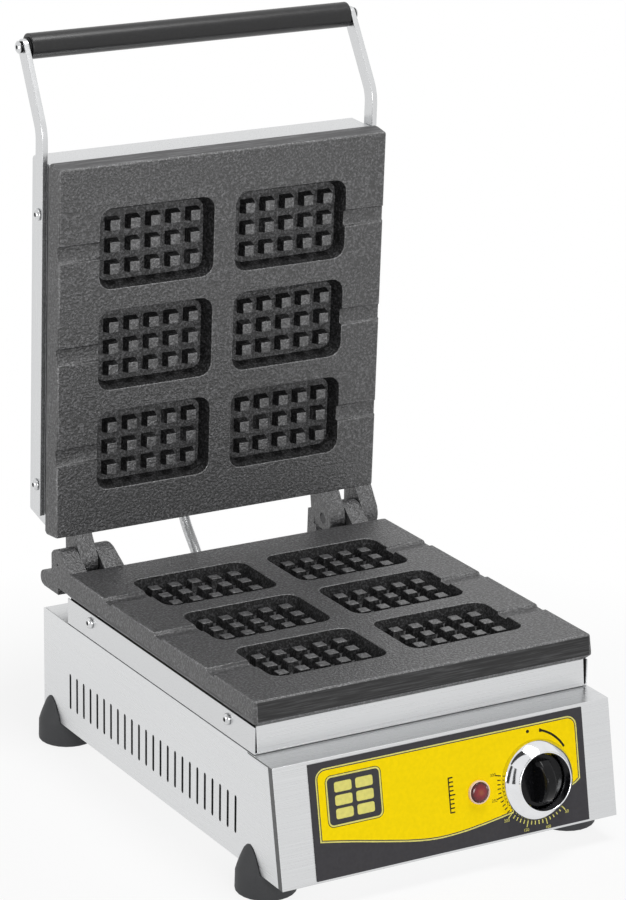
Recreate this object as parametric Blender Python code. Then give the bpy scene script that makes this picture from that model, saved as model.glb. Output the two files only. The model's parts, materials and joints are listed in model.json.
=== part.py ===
"""Waffle stick maker: a hinged pair of cast plates on a stainless base, lid standing open."""
import math

import bmesh
import bpy
from mathutils import Matrix, Vector

# Clearances and counts shared by the whole machine
fit_gap = 0.0003
overrun = 0.004
weld = 0.0005
round_steps = 20
small_round_steps = 10
knob_steps = 28

# Cast plate: both plates are the same casting, the upper one rolled over
plate_width = 0.280
plate_length = 0.290
plate_thickness = 0.0195
parting_gap = 0.001
plate_draft = 0.0015
plate_edge_break = 0.0008
plate_foot_chamfer = 0.0035
plate_corner_radius = 0.0016
plate_corner_steps = 2
plate_half_width = plate_width / 2
half_gap = parting_gap / 2
plate_bottom = half_gap + plate_thickness

# Waffle cavities and their pegs
cavity_rows = 3
cavity_side_margin = 0.0339
cavity_end_margin = 0.0337
cavity_middle_rib = 0.0182
cavity_row_rib = 0.0168
cavity_width = (plate_width - cavity_middle_rib) / 2 - cavity_side_margin
cavity_length = (plate_length - 2 * cavity_end_margin - (cavity_rows - 1) * cavity_row_rib) / cavity_rows
cavity_row_pitch = cavity_length + cavity_row_rib
cavity_depth = 0.011
cavity_radius = 0.010
cavity_draft = 0.004
cavity_corner_steps = 4
peg_pitch = 0.017
peg_margin = 0.0143
peg_columns = 1 + int((cavity_width - 2 * peg_margin) / peg_pitch)
peg_rows = 1 + int((cavity_length - 2 * peg_margin) / peg_pitch)
peg_tip = 0.008
peg_foot = 0.0105
peg_recess = 0.003
groove_width = 0.0138
groove_floor_width = 0.0104
groove_depth = 0.0024

# Hinge cast on the rear edge: a two-lug clevis on one side, one lug on the other
pin_setback = 0.021
pin_radius = 0.004
pin_recess = 0.0004
pin_cover = 0.0025
pin_vent_radius = 0.0010
lug_radius = 0.012
lug_width = 0.014
lug_gap = 0.001
lug_side_margin = 0.001
lug_slot_draft = 0.0005
lug_inner_draft = 0.0022
lug_rear_reach = 0.010
lug_heel_drop = 0.016
lug_clevis_drop = 0.0185
lug_arc_steps = 8
lug_root = 0.0025
stop_top_drop = 0.0099
stop_slope_drop = 0.0115
stop_floor_drop = 0.0142
stop_bottom_drop = 0.0245
stop_reach = 0.030
stop_front_reach = 0.0005
stop_nose_steps = 6
lid_open_angle = math.radians(87.9)

# Bosses under each casting take the side screws
boss_width = 0.013
boss_length = 0.018
boss_depth = 0.0145
boss_front_place = 0.040
boss_rear_margin = 0.036
boss_rear_place = plate_length - boss_rear_margin
screw_line_drop = 0.0077
screw_line_depth = plate_thickness + screw_line_drop
screw_shank_radius = 0.003
screw_head_radius = 0.0046
screw_head_height = 0.0027
screw_length = 0.011

# Tray of folded sheet that carries the lower plate
sheet = 0.001
tray_side_step = 0.0005
tray_half_width = plate_half_width - tray_side_step
tray_depth = 0.0210
tray_floor_depth = plate_bottom + tray_depth
tray_front_lean = 0.0022
tray_front_place = 0.0015
tray_rear_reach = 0.0025
tray_rear_place = plate_length + tray_rear_reach
tray_corner_slit = 0.0014
tray_wall_gap = 0.0006

# Base housing
base_side_reach = 0.0003
base_half_width = plate_half_width + base_side_reach
base_top_depth = tray_floor_depth + fit_gap
base_height = 0.0863
base_bottom_depth = base_top_depth + base_height
base_rear_reach = 0.0429
base_rear = plate_length + base_rear_reach
face_top_place = 0.0248
face_tilt = math.radians(11.27)
face_return = 0.0063
ledge_tuck = 0.010
side_flange = 0.014
side_flange_front = 0.014
side_flange_rear_margin = 0.0449
side_flange_rear = base_rear - side_flange_rear_margin
slot_count = 24
slot_width = 0.0030
slot_height = 0.0290
slot_middle_rise = 0.0326
slot_middle_depth = base_bottom_depth - slot_middle_rise
slot_front_place = 0.0262
slot_rear_margin = 0.0457
slot_rear_place = base_rear - slot_rear_margin
slot_end_steps = 3
bottom_screw_shares = (0.22, 0.78)

# Feet: rubber bells slotted over the lower edge of the side panels
foot_height = 0.0194
foot_radius = 0.0223
foot_inset = 0.0133
foot_front_place = 0.005
foot_rear_margin = 0.0129
foot_rear_place = base_rear - foot_rear_margin
foot_ear_height = 0.0190
foot_edge_break = 0.0012
foot_straight = 0.0155
foot_steps = 24
foot_curve_steps = 5
foot_curve_power = 1.15

# Control face
face_length = base_height / math.cos(face_tilt)
label_left_margin = 0.0278
label_right_margin = 0.0243
label_left = base_half_width - label_left_margin
label_right = base_half_width - label_right_margin
label_top = 0.0026
label_bottom_margin = 0.0018
label_bottom = face_length - label_bottom_margin
label_thickness = 0.0004
controls_drop_share = 0.5455
controls_drop = face_length * controls_drop_share
knob_margin = 0.0430
knob_place = label_right - knob_margin
lamp_spacing = 0.0493
lamp_place = knob_place - lamp_spacing
bezel_radius = 0.0295
bezel_height = 0.0140
bezel_rim_radius = 0.0222
bezel_lip = 0.0010
bezel_bore_radius = 0.0196
knob_disc_height = 0.0062
knob_height = 0.0222
wing_length = 0.0310
wing_end_height = 0.0135
wing_foot_width = 0.0124
wing_top_width = 0.0082
wing_arch_steps = 8
wing_shoulder_share = 0.86
wing_flank_share = 0.62
shaft_radius = 0.003
shaft_length = 0.030
bush_radius = 0.005
thermostat_width = 0.040
thermostat_height = 0.036
thermostat_depth = 0.030
lamp_bezel_radius = 0.0086
lamp_bezel_height = 0.0022
lens_radius = 0.0072
lens_height = 0.0048
lamp_barrel_radius = 0.0055
lamp_barrel_length = 0.026

# Heating under and over the plates
element_radius = 0.004
element_side_margin = 0.028
element_half_span = plate_half_width - element_side_margin
element_front_place = 0.030
element_rear_margin = 0.028
element_rear_place = plate_length - element_rear_margin
element_legs = 4
element_sides = 2
clamp_width = 0.016
clamp_thickness = 0.0015
clamp_end_margin = 0.018
clamp_half_length = plate_half_width - clamp_end_margin
clamp_spread = 0.048
clamp_post_radius = 0.0075
clamp_screw_length = 0.009
insulation_side_margin = 0.018
insulation_half_width = plate_half_width - insulation_side_margin
insulation_front = 0.012
insulation_rear_margin = 0.014
insulation_rear = plate_length - insulation_rear_margin
lower_insulation_thickness = 0.0060
upper_insulation_thickness = 0.0140
bulb_radius = 0.0035
bulb_length = 0.085
bulb_place = element_half_span - element_half_span / (element_legs - 1)

# Lid cover, handle arms and grip
cover_side_margin = 0.0011
cover_half_width = plate_half_width - cover_side_margin
cover_front_place = 0.0
cover_rear_margin = 0.0020
cover_rear_place = plate_length - cover_rear_margin
cover_rear_lean = 0.0058
cover_lip_rise = 0.0005
cover_lip_height = plate_bottom + cover_lip_rise
cover_height = 0.0295
cover_top_height = cover_lip_height + cover_height
cover_edge_radius = 0.0022
arm_thickness = 0.0045
arm_width = 0.012
arm_middle_height = half_gap + screw_line_depth
arm_rear_margin = 0.012
arm_rear_place = plate_length - arm_rear_margin
arm_inner = cover_half_width + fit_gap
arm_outer = arm_inner + arm_thickness
arm_bend_reach = 0.0235
arm_bend_radius = 0.028
arm_bend_steps = 6
arm_end_steps = 8
arm_lean = 0.0016
grip_reach = 0.0792
grip_rise = 0.0345
grip_height = arm_middle_height + grip_rise
grip_place = -grip_reach
arm_slope = math.atan2(grip_rise, grip_reach - arm_bend_reach)
arm_bend_tangent = arm_bend_radius * math.tan(arm_slope / 2)
arm_upper_length = math.hypot(grip_rise, grip_reach - arm_bend_reach) - arm_bend_tangent
grip_radius = 0.0097
grip_edge_break = 0.0005
grip_bore_radius = 0.0045
rod_radius = 0.004
grip_nut_radius = 0.0062
grip_nut_height = 0.0032
washer_radius = 0.0070
washer_thickness = 0.0005
lean_play = washer_radius * arm_lean / arm_upper_length
grip_half_length = arm_inner - arm_lean - lean_play - fit_gap - washer_thickness - fit_gap

# Cable ways
conduit_place = -0.0120
conduit_radius = 0.0042
conduit_points = 14
conduit_pull = 0.075
conduit_deck_margin = 0.0179
conduit_deck_place = base_rear - conduit_deck_margin
conduit_cover_height = 0.0350
gland_radius = 0.0085
gland_height = 0.0060
gland_flange_radius = 0.0105
gland_flange_height = 0.0024
inlet_place = plate_half_width / 2
inlet_rise = 0.0316
inlet_depth = base_bottom_depth - inlet_rise

# Electrics inside the base
terminal_half_length = 0.030
terminal_half_width = 0.010
terminal_height = 0.016
terminal_margin = 0.0479
terminal_place = base_rear - terminal_margin
terminal_ways = 3

# Places worked out from the sizes above
pin_place = plate_length + pin_setback
table_depth = base_bottom_depth + foot_height
deck_front = tray_rear_place + sheet
inner_half_width = base_half_width - sheet - fit_gap
element_depth = plate_bottom + fit_gap + element_radius
clamp_depth = element_depth + element_radius + fit_gap


def hex_colour(code):
    """Turn an sRGB hex code into the linear colour that a shader takes."""
    channels = [int(code[i:i + 2], 16) / 255 for i in (0, 2, 4)]
    linear = [c / 12.92 if c <= 0.04045 else ((c + 0.055) / 1.055) ** 2.4 for c in channels]
    return (*linear, 1.0)


def finish(name, code, roughness, metallic):
    """Make a named Principled material for one piece."""
    material = bpy.data.materials.new(name)
    material.use_nodes = True
    shader = material.node_tree.nodes["Principled BSDF"]
    shader.inputs["Base Color"].default_value = hex_colour(code)
    shader.inputs["Roughness"].default_value = roughness
    shader.inputs["Metallic"].default_value = metallic
    material.diffuse_color = hex_colour(code)
    return material


def cast_iron(name):
    return finish(name, "55555A", 0.62, 0.15)


def stainless(name):
    return finish(name, "C9CBCC", 0.32, 1.0)


def rubber(name):
    return finish(name, "2B2C2E", 0.75, 0.0)


def black_plastic(name):
    return finish(name, "17181A", 0.30, 0.0)


def chrome(name):
    return finish(name, "E3E4E6", 0.08, 1.0)


def wool_board(name):
    return finish(name, "D9D2C0", 0.95, 0.0)


def piece(name, shape, material, smooth_angle=None):
    """Turn a finished bmesh into one named object with its own material."""
    bmesh.ops.recalc_face_normals(shape, faces=shape.faces)
    mesh = bpy.data.meshes.new(name)
    shape.to_mesh(mesh)
    shape.free()
    if smooth_angle is not None:
        mesh.shade_smooth()
        mesh.set_sharp_from_angle(angle=smooth_angle)
    made = bpy.data.objects.new(name, mesh)
    mesh.materials.append(material(name))
    bpy.context.collection.objects.link(made)
    return made


def tool(name, shape):
    """Turn a bmesh into a hidden helper for a Boolean."""
    bmesh.ops.recalc_face_normals(shape, faces=shape.faces)
    mesh = bpy.data.meshes.new(name)
    shape.to_mesh(mesh)
    shape.free()
    helper = bpy.data.objects.new(name, mesh)
    helper.hide_render = True
    helper.display_type = "WIRE"
    bpy.context.collection.objects.link(helper)
    return helper


def boolean(target, helper, operation="DIFFERENCE"):
    """Cut or join a piece with a hidden helper that stays under it."""
    step = target.modifiers.new(helper.name, "BOOLEAN")
    step.operation = operation
    step.solver = "EXACT"
    step.object = helper
    helper.parent = target.parent
    helper.matrix_parent_inverse = target.matrix_parent_inverse.copy()
    helper.matrix_basis = target.matrix_basis.copy()


def hang(child, empty, lift=None):
    """Parent a piece to an empty whose resting frame the piece was modelled in."""
    child.parent = empty
    child.matrix_parent_inverse = lift if lift is not None else Matrix.Identity(4)


def loft(shape, rings):
    """Skin a stack of matching outlines and close both ends."""
    made = [[shape.verts.new(p) for p in ring] for ring in rings]
    for low, high in zip(made, made[1:]):
        for i in range(len(low)):
            j = (i + 1) % len(low)
            shape.faces.new((low[i], low[j], high[j], high[i]))
    shape.faces.new(made[0])
    shape.faces.new(made[-1])


def prism(shape, outline, axis, start, end):
    """Extrude an outline of two coordinates along X, Y or Z."""
    order = {"X": lambda a, b, t: (t, a, b), "Y": lambda a, b, t: (a, t, b), "Z": lambda a, b, t: (a, b, t)}
    place = order[axis]
    loft(shape, [[place(a, b, t) for a, b in outline] for t in (start, end)])


def block(shape, low, high):
    """Add a plain bar between two corners."""
    outline = [(low[0], low[1]), (high[0], low[1]), (high[0], high[1]), (low[0], high[1])]
    prism(shape, outline, "Z", low[2], high[2])


def rounded(centre, width, length, radius, steps):
    """Outline of a rectangle with round corners, counter-clockwise."""
    points = []
    corners = ((1, 1), (-1, 1), (-1, -1), (1, -1))
    for quarter, (sx, sy) in enumerate(corners):
        cx = centre[0] + sx * (width / 2 - radius)
        cy = centre[1] + sy * (length / 2 - radius)
        for i in range(steps + 1):
            turn = (quarter + i / steps) * math.pi / 2
            points.append((cx + radius * math.cos(turn), cy + radius * math.sin(turn)))
    return points


def turned(shape, profile, steps, place=None):
    """Revolve a closed (radius, height) outline about Z; points on the axis become poles."""
    place = place or Matrix.Identity(4)
    rings = []
    for radius, height in profile:
        if radius == 0:
            rings.append([shape.verts.new(place @ Vector((0, 0, height)))])
            continue
        ring = []
        for i in range(steps):
            turn = 2 * math.pi * i / steps
            ring.append(shape.verts.new(place @ Vector((radius * math.cos(turn), radius * math.sin(turn), height))))
        rings.append(ring)
    for low, high in zip(rings, rings[1:] + rings[:1]):
        for i in range(steps):
            j = (i + 1) % steps
            if len(low) == 1 and len(high) == 1:
                break
            corners = [low[0]] if len(low) == 1 else [low[i], low[j]]
            corners += [high[0]] if len(high) == 1 else [high[j], high[i]]
            shape.faces.new(corners)


def rod(shape, radius, start, end, steps=round_steps):
    """Add a round bar between two points."""
    start, end = Vector(start), Vector(end)
    turn = Vector((0, 0, 1)).rotation_difference(end - start).to_matrix().to_4x4()
    place = Matrix.Translation(start) @ turn
    length = (end - start).length
    turned(shape, [(0, 0), (radius, 0), (radius, length), (0, length)], steps, place)


def slack_route(start, start_way, end, end_way, pull, count):
    """Even points of a slack lead that leaves both ends square and hangs between them."""
    route = []
    for k in range(count):
        t = k / (count - 1)
        a = 2 * t ** 3 - 3 * t ** 2 + 1
        b = t ** 3 - 2 * t ** 2 + t
        c = -2 * t ** 3 + 3 * t ** 2
        d = t ** 3 - t ** 2
        route.append(a * start + b * pull * start_way + c * end - d * pull * end_way)
    return route


def tube(name, route, radius, material, sides):
    """Make a solid tube along a route as a curve with filled caps."""
    curve = bpy.data.curves.new(name, "CURVE")
    curve.dimensions = "3D"
    curve.bevel_depth = radius
    curve.bevel_resolution = sides
    curve.use_fill_caps = True
    curve.resolution_u = 1
    line = curve.splines.new("POLY")
    line.points.add(len(route) - 1)
    for point, place in zip(line.points, route):
        point.co = (*place, 1.0)
    line.use_smooth = True
    curve.materials.append(material(name))
    made = bpy.data.objects.new(name, curve)
    bpy.context.collection.objects.link(made)
    return made


def cavity_centres():
    """Centres of the six cavities, as (x, y) on the casting."""
    column_place = (cavity_middle_rib + cavity_width) / 2
    for row in range(cavity_rows):
        y = plate_length / 2 + (row - (cavity_rows - 1) / 2) * cavity_row_pitch
        for side in (-1, 1):
            yield side * column_place, y, side


def lug_profile(heel):
    """Side outline of a hinge lug as (y, z): front slope rooted in the plate, round crown, flat rear."""
    lean = math.asin(lug_radius / pin_setback)
    first = math.pi / 2 + lean
    last = math.acos(lug_rear_reach / lug_radius)
    root_place = plate_length - lug_root * math.cos(lean)
    points = [(root_place, half_gap - heel), (root_place, -lug_root * math.sin(lean))]
    for i in range(lug_arc_steps + 1):
        turn = first + (last - first) * i / lug_arc_steps
        points.append((pin_place + lug_radius * math.cos(turn), half_gap + lug_radius * math.sin(turn)))
    points.append((pin_place + lug_rear_reach, half_gap - heel))
    return points


def stop_profile():
    """Side outline of the round-nosed block across the clevis that the other plate's heel lands on, as (y, z)."""
    nose_radius = (stop_bottom_drop - stop_slope_drop) / 2
    nose_place = pin_place + stop_reach - nose_radius
    nose_depth = (stop_bottom_drop + stop_slope_drop) / 2
    step_place = pin_place + lug_rear_reach - weld
    points = [
        (pin_place - stop_front_reach, half_gap - stop_floor_drop),
        (step_place, half_gap - stop_floor_drop),
        (step_place, half_gap - stop_top_drop),
    ]
    for i in range(stop_nose_steps + 1):
        turn = math.pi / 2 - math.pi * i / stop_nose_steps
        points.append((nose_place + nose_radius * math.cos(turn), half_gap - nose_depth + nose_radius * math.sin(turn)))
    points.append((pin_place - stop_front_reach, half_gap - stop_bottom_drop))
    return points


def lug_span(slot):
    """Inner and outer distance from the middle plane of lug place 0, 1 or 2."""
    outer = plate_half_width - lug_side_margin - slot * (lug_width + lug_gap)
    return outer - lug_width, outer


def casting_block():
    """The plain casting: a drafted slab with a broken top edge and a chamfered foot."""
    shape = bmesh.new()
    levels = (
        (-plate_edge_break, 0),
        (0, plate_edge_break),
        (plate_draft, plate_thickness * 0.7),
        (plate_draft, plate_thickness - plate_foot_chamfer),
        (plate_draft - plate_foot_chamfer, plate_thickness),
    )
    rings = []
    for growth, depth in levels:
        outline = rounded(
            (0, plate_length / 2), plate_width + 2 * growth, plate_length + 2 * growth,
            plate_corner_radius + max(growth, 0), plate_corner_steps)
        rings.append([(x, y, -depth) for x, y in outline])
    loft(shape, rings)
    return shape


def cavity_tool():
    """Six drafted pockets with round corners."""
    shape = bmesh.new()
    slope = cavity_draft / cavity_depth
    for x, y, _ in cavity_centres():
        rings = []
        for depth in (-overrun, cavity_depth):
            shrink = slope * depth
            outline = rounded(
                (x, y), cavity_width - 2 * shrink, cavity_length - 2 * shrink,
                cavity_radius - shrink / 2, cavity_corner_steps)
            rings.append([(a, b, -depth) for a, b in outline])
        loft(shape, rings)
    return shape


def peg_tool():
    """Fifteen tapered square pegs in each pocket, rooted in its floor."""
    shape = bmesh.new()
    slope = (peg_foot - peg_tip) / (cavity_depth - peg_recess)
    root = cavity_depth + weld
    for x, y, _ in cavity_centres():
        for i in range(peg_columns):
            for j in range(peg_rows):
                centre = (x + (i - (peg_columns - 1) / 2) * peg_pitch, y + (j - (peg_rows - 1) / 2) * peg_pitch)
                rings = []
                for depth in (peg_recess, root):
                    half = (peg_tip + slope * (depth - peg_recess)) / 2
                    rings.append([(centre[0] + a * half, centre[1] + b * half, -depth)
                                  for a, b in ((-1, -1), (1, -1), (1, 1), (-1, 1))])
                loft(shape, rings)
    return shape


def groove_tool():
    """A shallow seat for a stick from each pocket out through the side of the plate."""
    shape = bmesh.new()
    slope = (groove_width - groove_floor_width) / 2 / groove_depth
    for x, y, side in cavity_centres():
        start = x + side * (cavity_width / 2 - cavity_draft)
        end = side * (plate_half_width + overrun)
        top = groove_width / 2 + slope * overrun
        outline = [(y - top, overrun), (y + top, overrun),
                   (y + groove_floor_width / 2, -groove_depth), (y - groove_floor_width / 2, -groove_depth)]
        prism(shape, outline, "X", start, end)
    return shape


def lug_block(slot_number, side, heel):
    """One hinge lug, its sides drafted towards the crown."""
    low, high = lug_span(slot_number)
    inner_draft = lug_inner_draft if slot_number == 2 else lug_slot_draft
    outer_draft = 0 if slot_number == 0 else lug_slot_draft

    def ring(edge, draft):
        return [(side * (edge + draft * (pin_place - y) / pin_setback), y, z) for y, z in lug_profile(heel)]

    shape = bmesh.new()
    loft(shape, [ring(low, -inner_draft), ring(high, outer_draft)])
    return shape


def waffle_casting(name):
    """One plate: slab, pockets, pegs, stick seats, hinge lugs, bosses and pin bores."""
    plate = piece(name, casting_block(), cast_iron, math.radians(30))
    boolean(plate, tool(name + "_pockets", cavity_tool()))
    boolean(plate, tool(name + "_pegs", peg_tool()), "UNION")
    boolean(plate, tool(name + "_stick_seats", groove_tool()))
    for slot_number, side, heel in ((0, -1, lug_clevis_drop), (2, -1, lug_clevis_drop), (1, 1, lug_heel_drop)):
        lug = lug_block(slot_number, side, heel)
        boolean(plate, tool(f"{name}_lug_{slot_number}", lug), "UNION")
    stop = bmesh.new()
    prism(stop, stop_profile(), "X", fit_gap - lug_span(0)[1], -fit_gap - lug_span(2)[0])
    boolean(plate, tool(name + "_stop_block", stop), "UNION")

    bosses = bmesh.new()
    for side in (-1, 1):
        for y in (boss_front_place, boss_rear_place):
            outer = plate_half_width - sheet - sheet - 2 * fit_gap
            block(bosses, (min(side * outer, side * (outer - boss_width)), y - boss_length / 2, -plate_thickness - boss_depth),
                  (max(side * outer, side * (outer - boss_width)), y + boss_length / 2, -plate_thickness + weld))
    rod(bosses, clamp_post_radius, (0, plate_length / 2, -plate_thickness + weld),
        (0, plate_length / 2, half_gap - clamp_depth + fit_gap), small_round_steps)
    boolean(plate, tool(name + "_bosses", bosses), "UNION")

    bores = bmesh.new()
    low, high = lug_span(1)
    rod(bores, pin_radius + fit_gap, (low - overrun, pin_place, half_gap), (high + overrun, pin_place, half_gap))
    start = lug_span(2)[0] - overrun
    blind = lug_span(0)[1] - pin_cover
    rod(bores, pin_radius + fit_gap, (-start, pin_place, half_gap), (-blind, pin_place, half_gap))
    for side in (-1, 1):
        for y in (boss_front_place, boss_rear_place):
            rod(bores, screw_shank_radius + fit_gap, (side * (plate_half_width - screw_length - 2 * sheet), y, -screw_line_depth),
                (side * (plate_half_width + overrun), y, -screw_line_depth), small_round_steps)
    rod(bores, screw_shank_radius + fit_gap, (0, plate_length / 2, half_gap - clamp_depth - overrun),
        (0, plate_length / 2, half_gap - clamp_depth + clamp_screw_length), small_round_steps)
    boolean(plate, tool(name + "_bores", bores))
    vent = bmesh.new()
    rod(vent, pin_vent_radius, (-blind + overrun, pin_place, half_gap), (-blind - overrun, pin_place, half_gap),
        small_round_steps)
    boolean(plate, tool(name + "_pin_vent", vent))
    return plate


def hinge_pins():
    """One steel pin through each set of three lugs."""
    for side, name in ((-1, "hinge_pin_left"), (1, "hinge_pin_right")):
        shape = bmesh.new()
        start = lug_span(2)[0] + pin_recess
        end = lug_span(0)[1] - pin_cover - pin_recess
        rod(shape, pin_radius, (side * start, pin_place, 0), (side * end, pin_place, 0))
        piece(name, shape, lambda name: finish(name, "3A3A3D", 0.5, 0.8), math.radians(40))


def button_screw(shape, seat, direction, length=screw_length):
    """A button-head screw, its head standing on the seat."""
    turn = Vector((0, 0, 1)).rotation_difference(Vector(direction)).to_matrix().to_4x4()
    place = Matrix.Translation(Vector(seat)) @ turn
    profile = [
        (0, -length),
        (screw_shank_radius, -length),
        (screw_shank_radius, 0),
        (screw_head_radius, 0),
        (screw_head_radius * 0.93, screw_head_height * 0.5),
        (screw_head_radius * 0.55, screw_head_height),
        (0, screw_head_height),
    ]
    turned(shape, profile, small_round_steps, place)


def side_screws(name, seat, up):
    """Four button screws through the sides into the casting's bosses; up is 1 on the lid, -1 on the base."""
    for side, hand in ((-1, "left"), (1, "right")):
        for y, end in ((boss_front_place, "front"), (boss_rear_place, "rear")):
            shape = bmesh.new()
            place = (side * (seat + fit_gap), y, up * (half_gap + screw_line_depth))
            button_screw(shape, place, (side, 0, 0), screw_length + seat - plate_half_width)
            piece(f"{name}_{end}_{hand}", shape, stainless, math.radians(40))


def plate_tray():
    """Folded tray under the lower plate, its front corners slit."""
    floor_top = -tray_floor_depth + sheet
    wall_top = -plate_bottom - tray_wall_gap
    shape = bmesh.new()
    block(shape, (-tray_half_width, tray_front_place, -tray_floor_depth), (tray_half_width, tray_rear_place, floor_top))
    tray = piece("plate_tray", shape, stainless)

    walls = bmesh.new()
    for side in (-1, 1):
        block(walls, (min(side * tray_half_width, side * (tray_half_width - sheet)), tray_front_place, -tray_floor_depth + sheet / 2),
              (max(side * tray_half_width, side * (tray_half_width - sheet)), tray_rear_place, wall_top))
    boolean(tray, tool("tray_side_walls", walls), "UNION")

    front = bmesh.new()
    reach = tray_half_width - sheet - tray_corner_slit
    lean = tray_front_lean
    base = tray_front_place
    prism(front, [(base, floor_top - sheet / 2), (base + sheet, floor_top - sheet / 2),
                  (base + sheet + lean, wall_top), (base + lean, wall_top)], "X", -reach, reach)
    boolean(tray, tool("tray_front_wall", front), "UNION")

    rear = bmesh.new()
    block(rear, (-reach, tray_rear_place - sheet, floor_top - sheet / 2), (reach, tray_rear_place, wall_top))
    boolean(tray, tool("tray_rear_wall", rear), "UNION")

    holes = bmesh.new()
    for side in (-1, 1):
        for y in (boss_front_place, boss_rear_place):
            rod(holes, screw_shank_radius + fit_gap, (side * (tray_half_width - overrun), y, -half_gap - screw_line_depth),
                (side * (tray_half_width + overrun), y, -half_gap - screw_line_depth), small_round_steps)
        rod(holes, element_radius + sheet, (side * element_half_span, element_rear_place, -tray_floor_depth - overrun),
            (side * element_half_span, element_rear_place, floor_top + overrun), small_round_steps)
    boolean(tray, tool("tray_holes", holes))
    return tray


def face_place(depth):
    """Distance of the sloped front face ahead of the plate, at a depth below the parting plane."""
    return -(face_top_place + (depth - base_top_depth) * math.tan(face_tilt))


def slot_places():
    """Centres of the side vents along the panel."""
    pitch = (slot_rear_place - slot_front_place) / (slot_count - 1)
    return [slot_front_place + i * pitch for i in range(slot_count)]


def side_panel(side, name):
    """A side of the base: flat sheet with a row of round-ended vents and two inward flanges."""
    step_depth = base_top_depth + sheet + fit_gap
    step_place = ledge_tuck + fit_gap
    outline = [
        (base_rear, -base_bottom_depth),
        (base_rear, -base_top_depth),
        (step_place, -base_top_depth),
        (step_place, -step_depth),
        (face_place(step_depth) + face_return, -step_depth),
        (face_place(base_bottom_depth) + face_return, -base_bottom_depth),
    ]
    shape = bmesh.new()
    outer = side * base_half_width
    inner = side * (base_half_width - sheet)
    prism(shape, outline, "X", outer, inner)
    panel = piece(name, shape, stainless)

    flanges = bmesh.new()
    edge = side * (base_half_width - side_flange)
    root = side * (base_half_width - sheet / 2)
    for depth in (base_top_depth, base_bottom_depth - sheet):
        block(flanges, (min(edge, root), side_flange_front, -depth - sheet), (max(edge, root), side_flange_rear, -depth))
    boolean(panel, tool(name + "_flanges", flanges), "UNION")

    vents = bmesh.new()
    for place in slot_places():
        half = slot_height / 2 - slot_width / 2
        outline = []
        for end in (1, -1):
            for i in range(slot_end_steps + 1):
                turn = math.pi * i / slot_end_steps + (0 if end == 1 else math.pi)
                outline.append((place + slot_width / 2 * math.cos(turn),
                                -slot_middle_depth + end * half + slot_width / 2 * math.sin(turn)))
        prism(vents, outline, "X", side * (base_half_width - overrun), side * (base_half_width + overrun))
    boolean(panel, tool(name + "_vents", vents))

    holes = bmesh.new()
    for place in bottom_screw_places():
        for end in (-1, 1):
            if end == side:
                x = side * (base_half_width - side_flange / 2)
                rod(holes, screw_shank_radius + fit_gap, (x, place, -base_bottom_depth - overrun),
                    (x, place, -base_bottom_depth + sheet + overrun), small_round_steps)
    boolean(panel, tool(name + "_screw_holes", holes))
    return panel


def bottom_screw_places():
    """Places of the bottom screws along the base."""
    return [side_flange_front + share * (side_flange_rear - side_flange_front) for share in bottom_screw_shares]


def front_panel():
    """The control face: a tucked ledge, the sloped face and a return down each side."""
    depth_top = base_top_depth
    run = sheet / math.cos(face_tilt)
    outline = [
        (ledge_tuck, -depth_top),
        (face_place(depth_top), -depth_top),
        (face_place(base_bottom_depth), -base_bottom_depth),
        (face_place(base_bottom_depth) + run, -base_bottom_depth),
        (face_place(depth_top + sheet) + run, -depth_top - sheet),
        (ledge_tuck, -depth_top - sheet),
    ]
    shape = bmesh.new()
    prism(shape, outline, "X", -base_half_width, base_half_width)
    panel = piece("front_panel", shape, stainless)

    returns = bmesh.new()
    low = base_bottom_depth
    high = depth_top + sheet / 2
    behind = face_return - fit_gap
    outline = [
        (face_place(high) + sheet / 2, -high),
        (face_place(low) + sheet / 2, -low),
        (face_place(low) + behind, -low),
        (face_place(high) + behind, -high),
    ]
    for side in (-1, 1):
        prism(returns, outline, "X", side * base_half_width, side * (base_half_width - sheet))
    boolean(panel, tool("front_panel_returns", returns), "UNION")

    holes = bmesh.new()
    for place, radius in ((knob_place, bush_radius + fit_gap), (lamp_place, lamp_barrel_radius + fit_gap)):
        rod(holes, radius, on_face(place, controls_drop, -overrun), on_face(place, controls_drop, overrun))
    boolean(panel, tool("front_panel_holes", holes))
    return panel


def face_frame():
    """Matrix of the control face: X across, Y up the slope, Z out of it."""
    return Matrix.Translation((0, -face_top_place, -base_top_depth)) @ Matrix.Rotation(math.pi / 2 - face_tilt, 4, "X")


def on_face(across, drop, out):
    """A point on the control face in the machine's own axes."""
    return face_frame() @ Vector((across, -drop, out))


def rear_panel():
    """Rear wall folded forward over the top as a deck behind the plate."""
    reach = inner_half_width
    outline = [
        (base_rear, -base_bottom_depth),
        (base_rear, -base_top_depth),
        (deck_front, -base_top_depth),
        (deck_front, -base_top_depth - sheet),
        (base_rear - sheet, -base_top_depth - sheet),
        (base_rear - sheet, -base_bottom_depth),
    ]
    shape = bmesh.new()
    prism(shape, outline, "X", -reach, reach)
    panel = piece("rear_panel", shape, stainless)
    holes = bmesh.new()
    rod(holes, gland_radius, (conduit_place, conduit_deck_place, -base_top_depth - overrun),
        (conduit_place, conduit_deck_place, -base_top_depth + overrun))
    rod(holes, gland_radius, (inlet_place, base_rear - overrun, -inlet_depth), (inlet_place, base_rear + overrun, -inlet_depth))
    boolean(panel, tool("rear_panel_holes", holes))
    return panel


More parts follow.
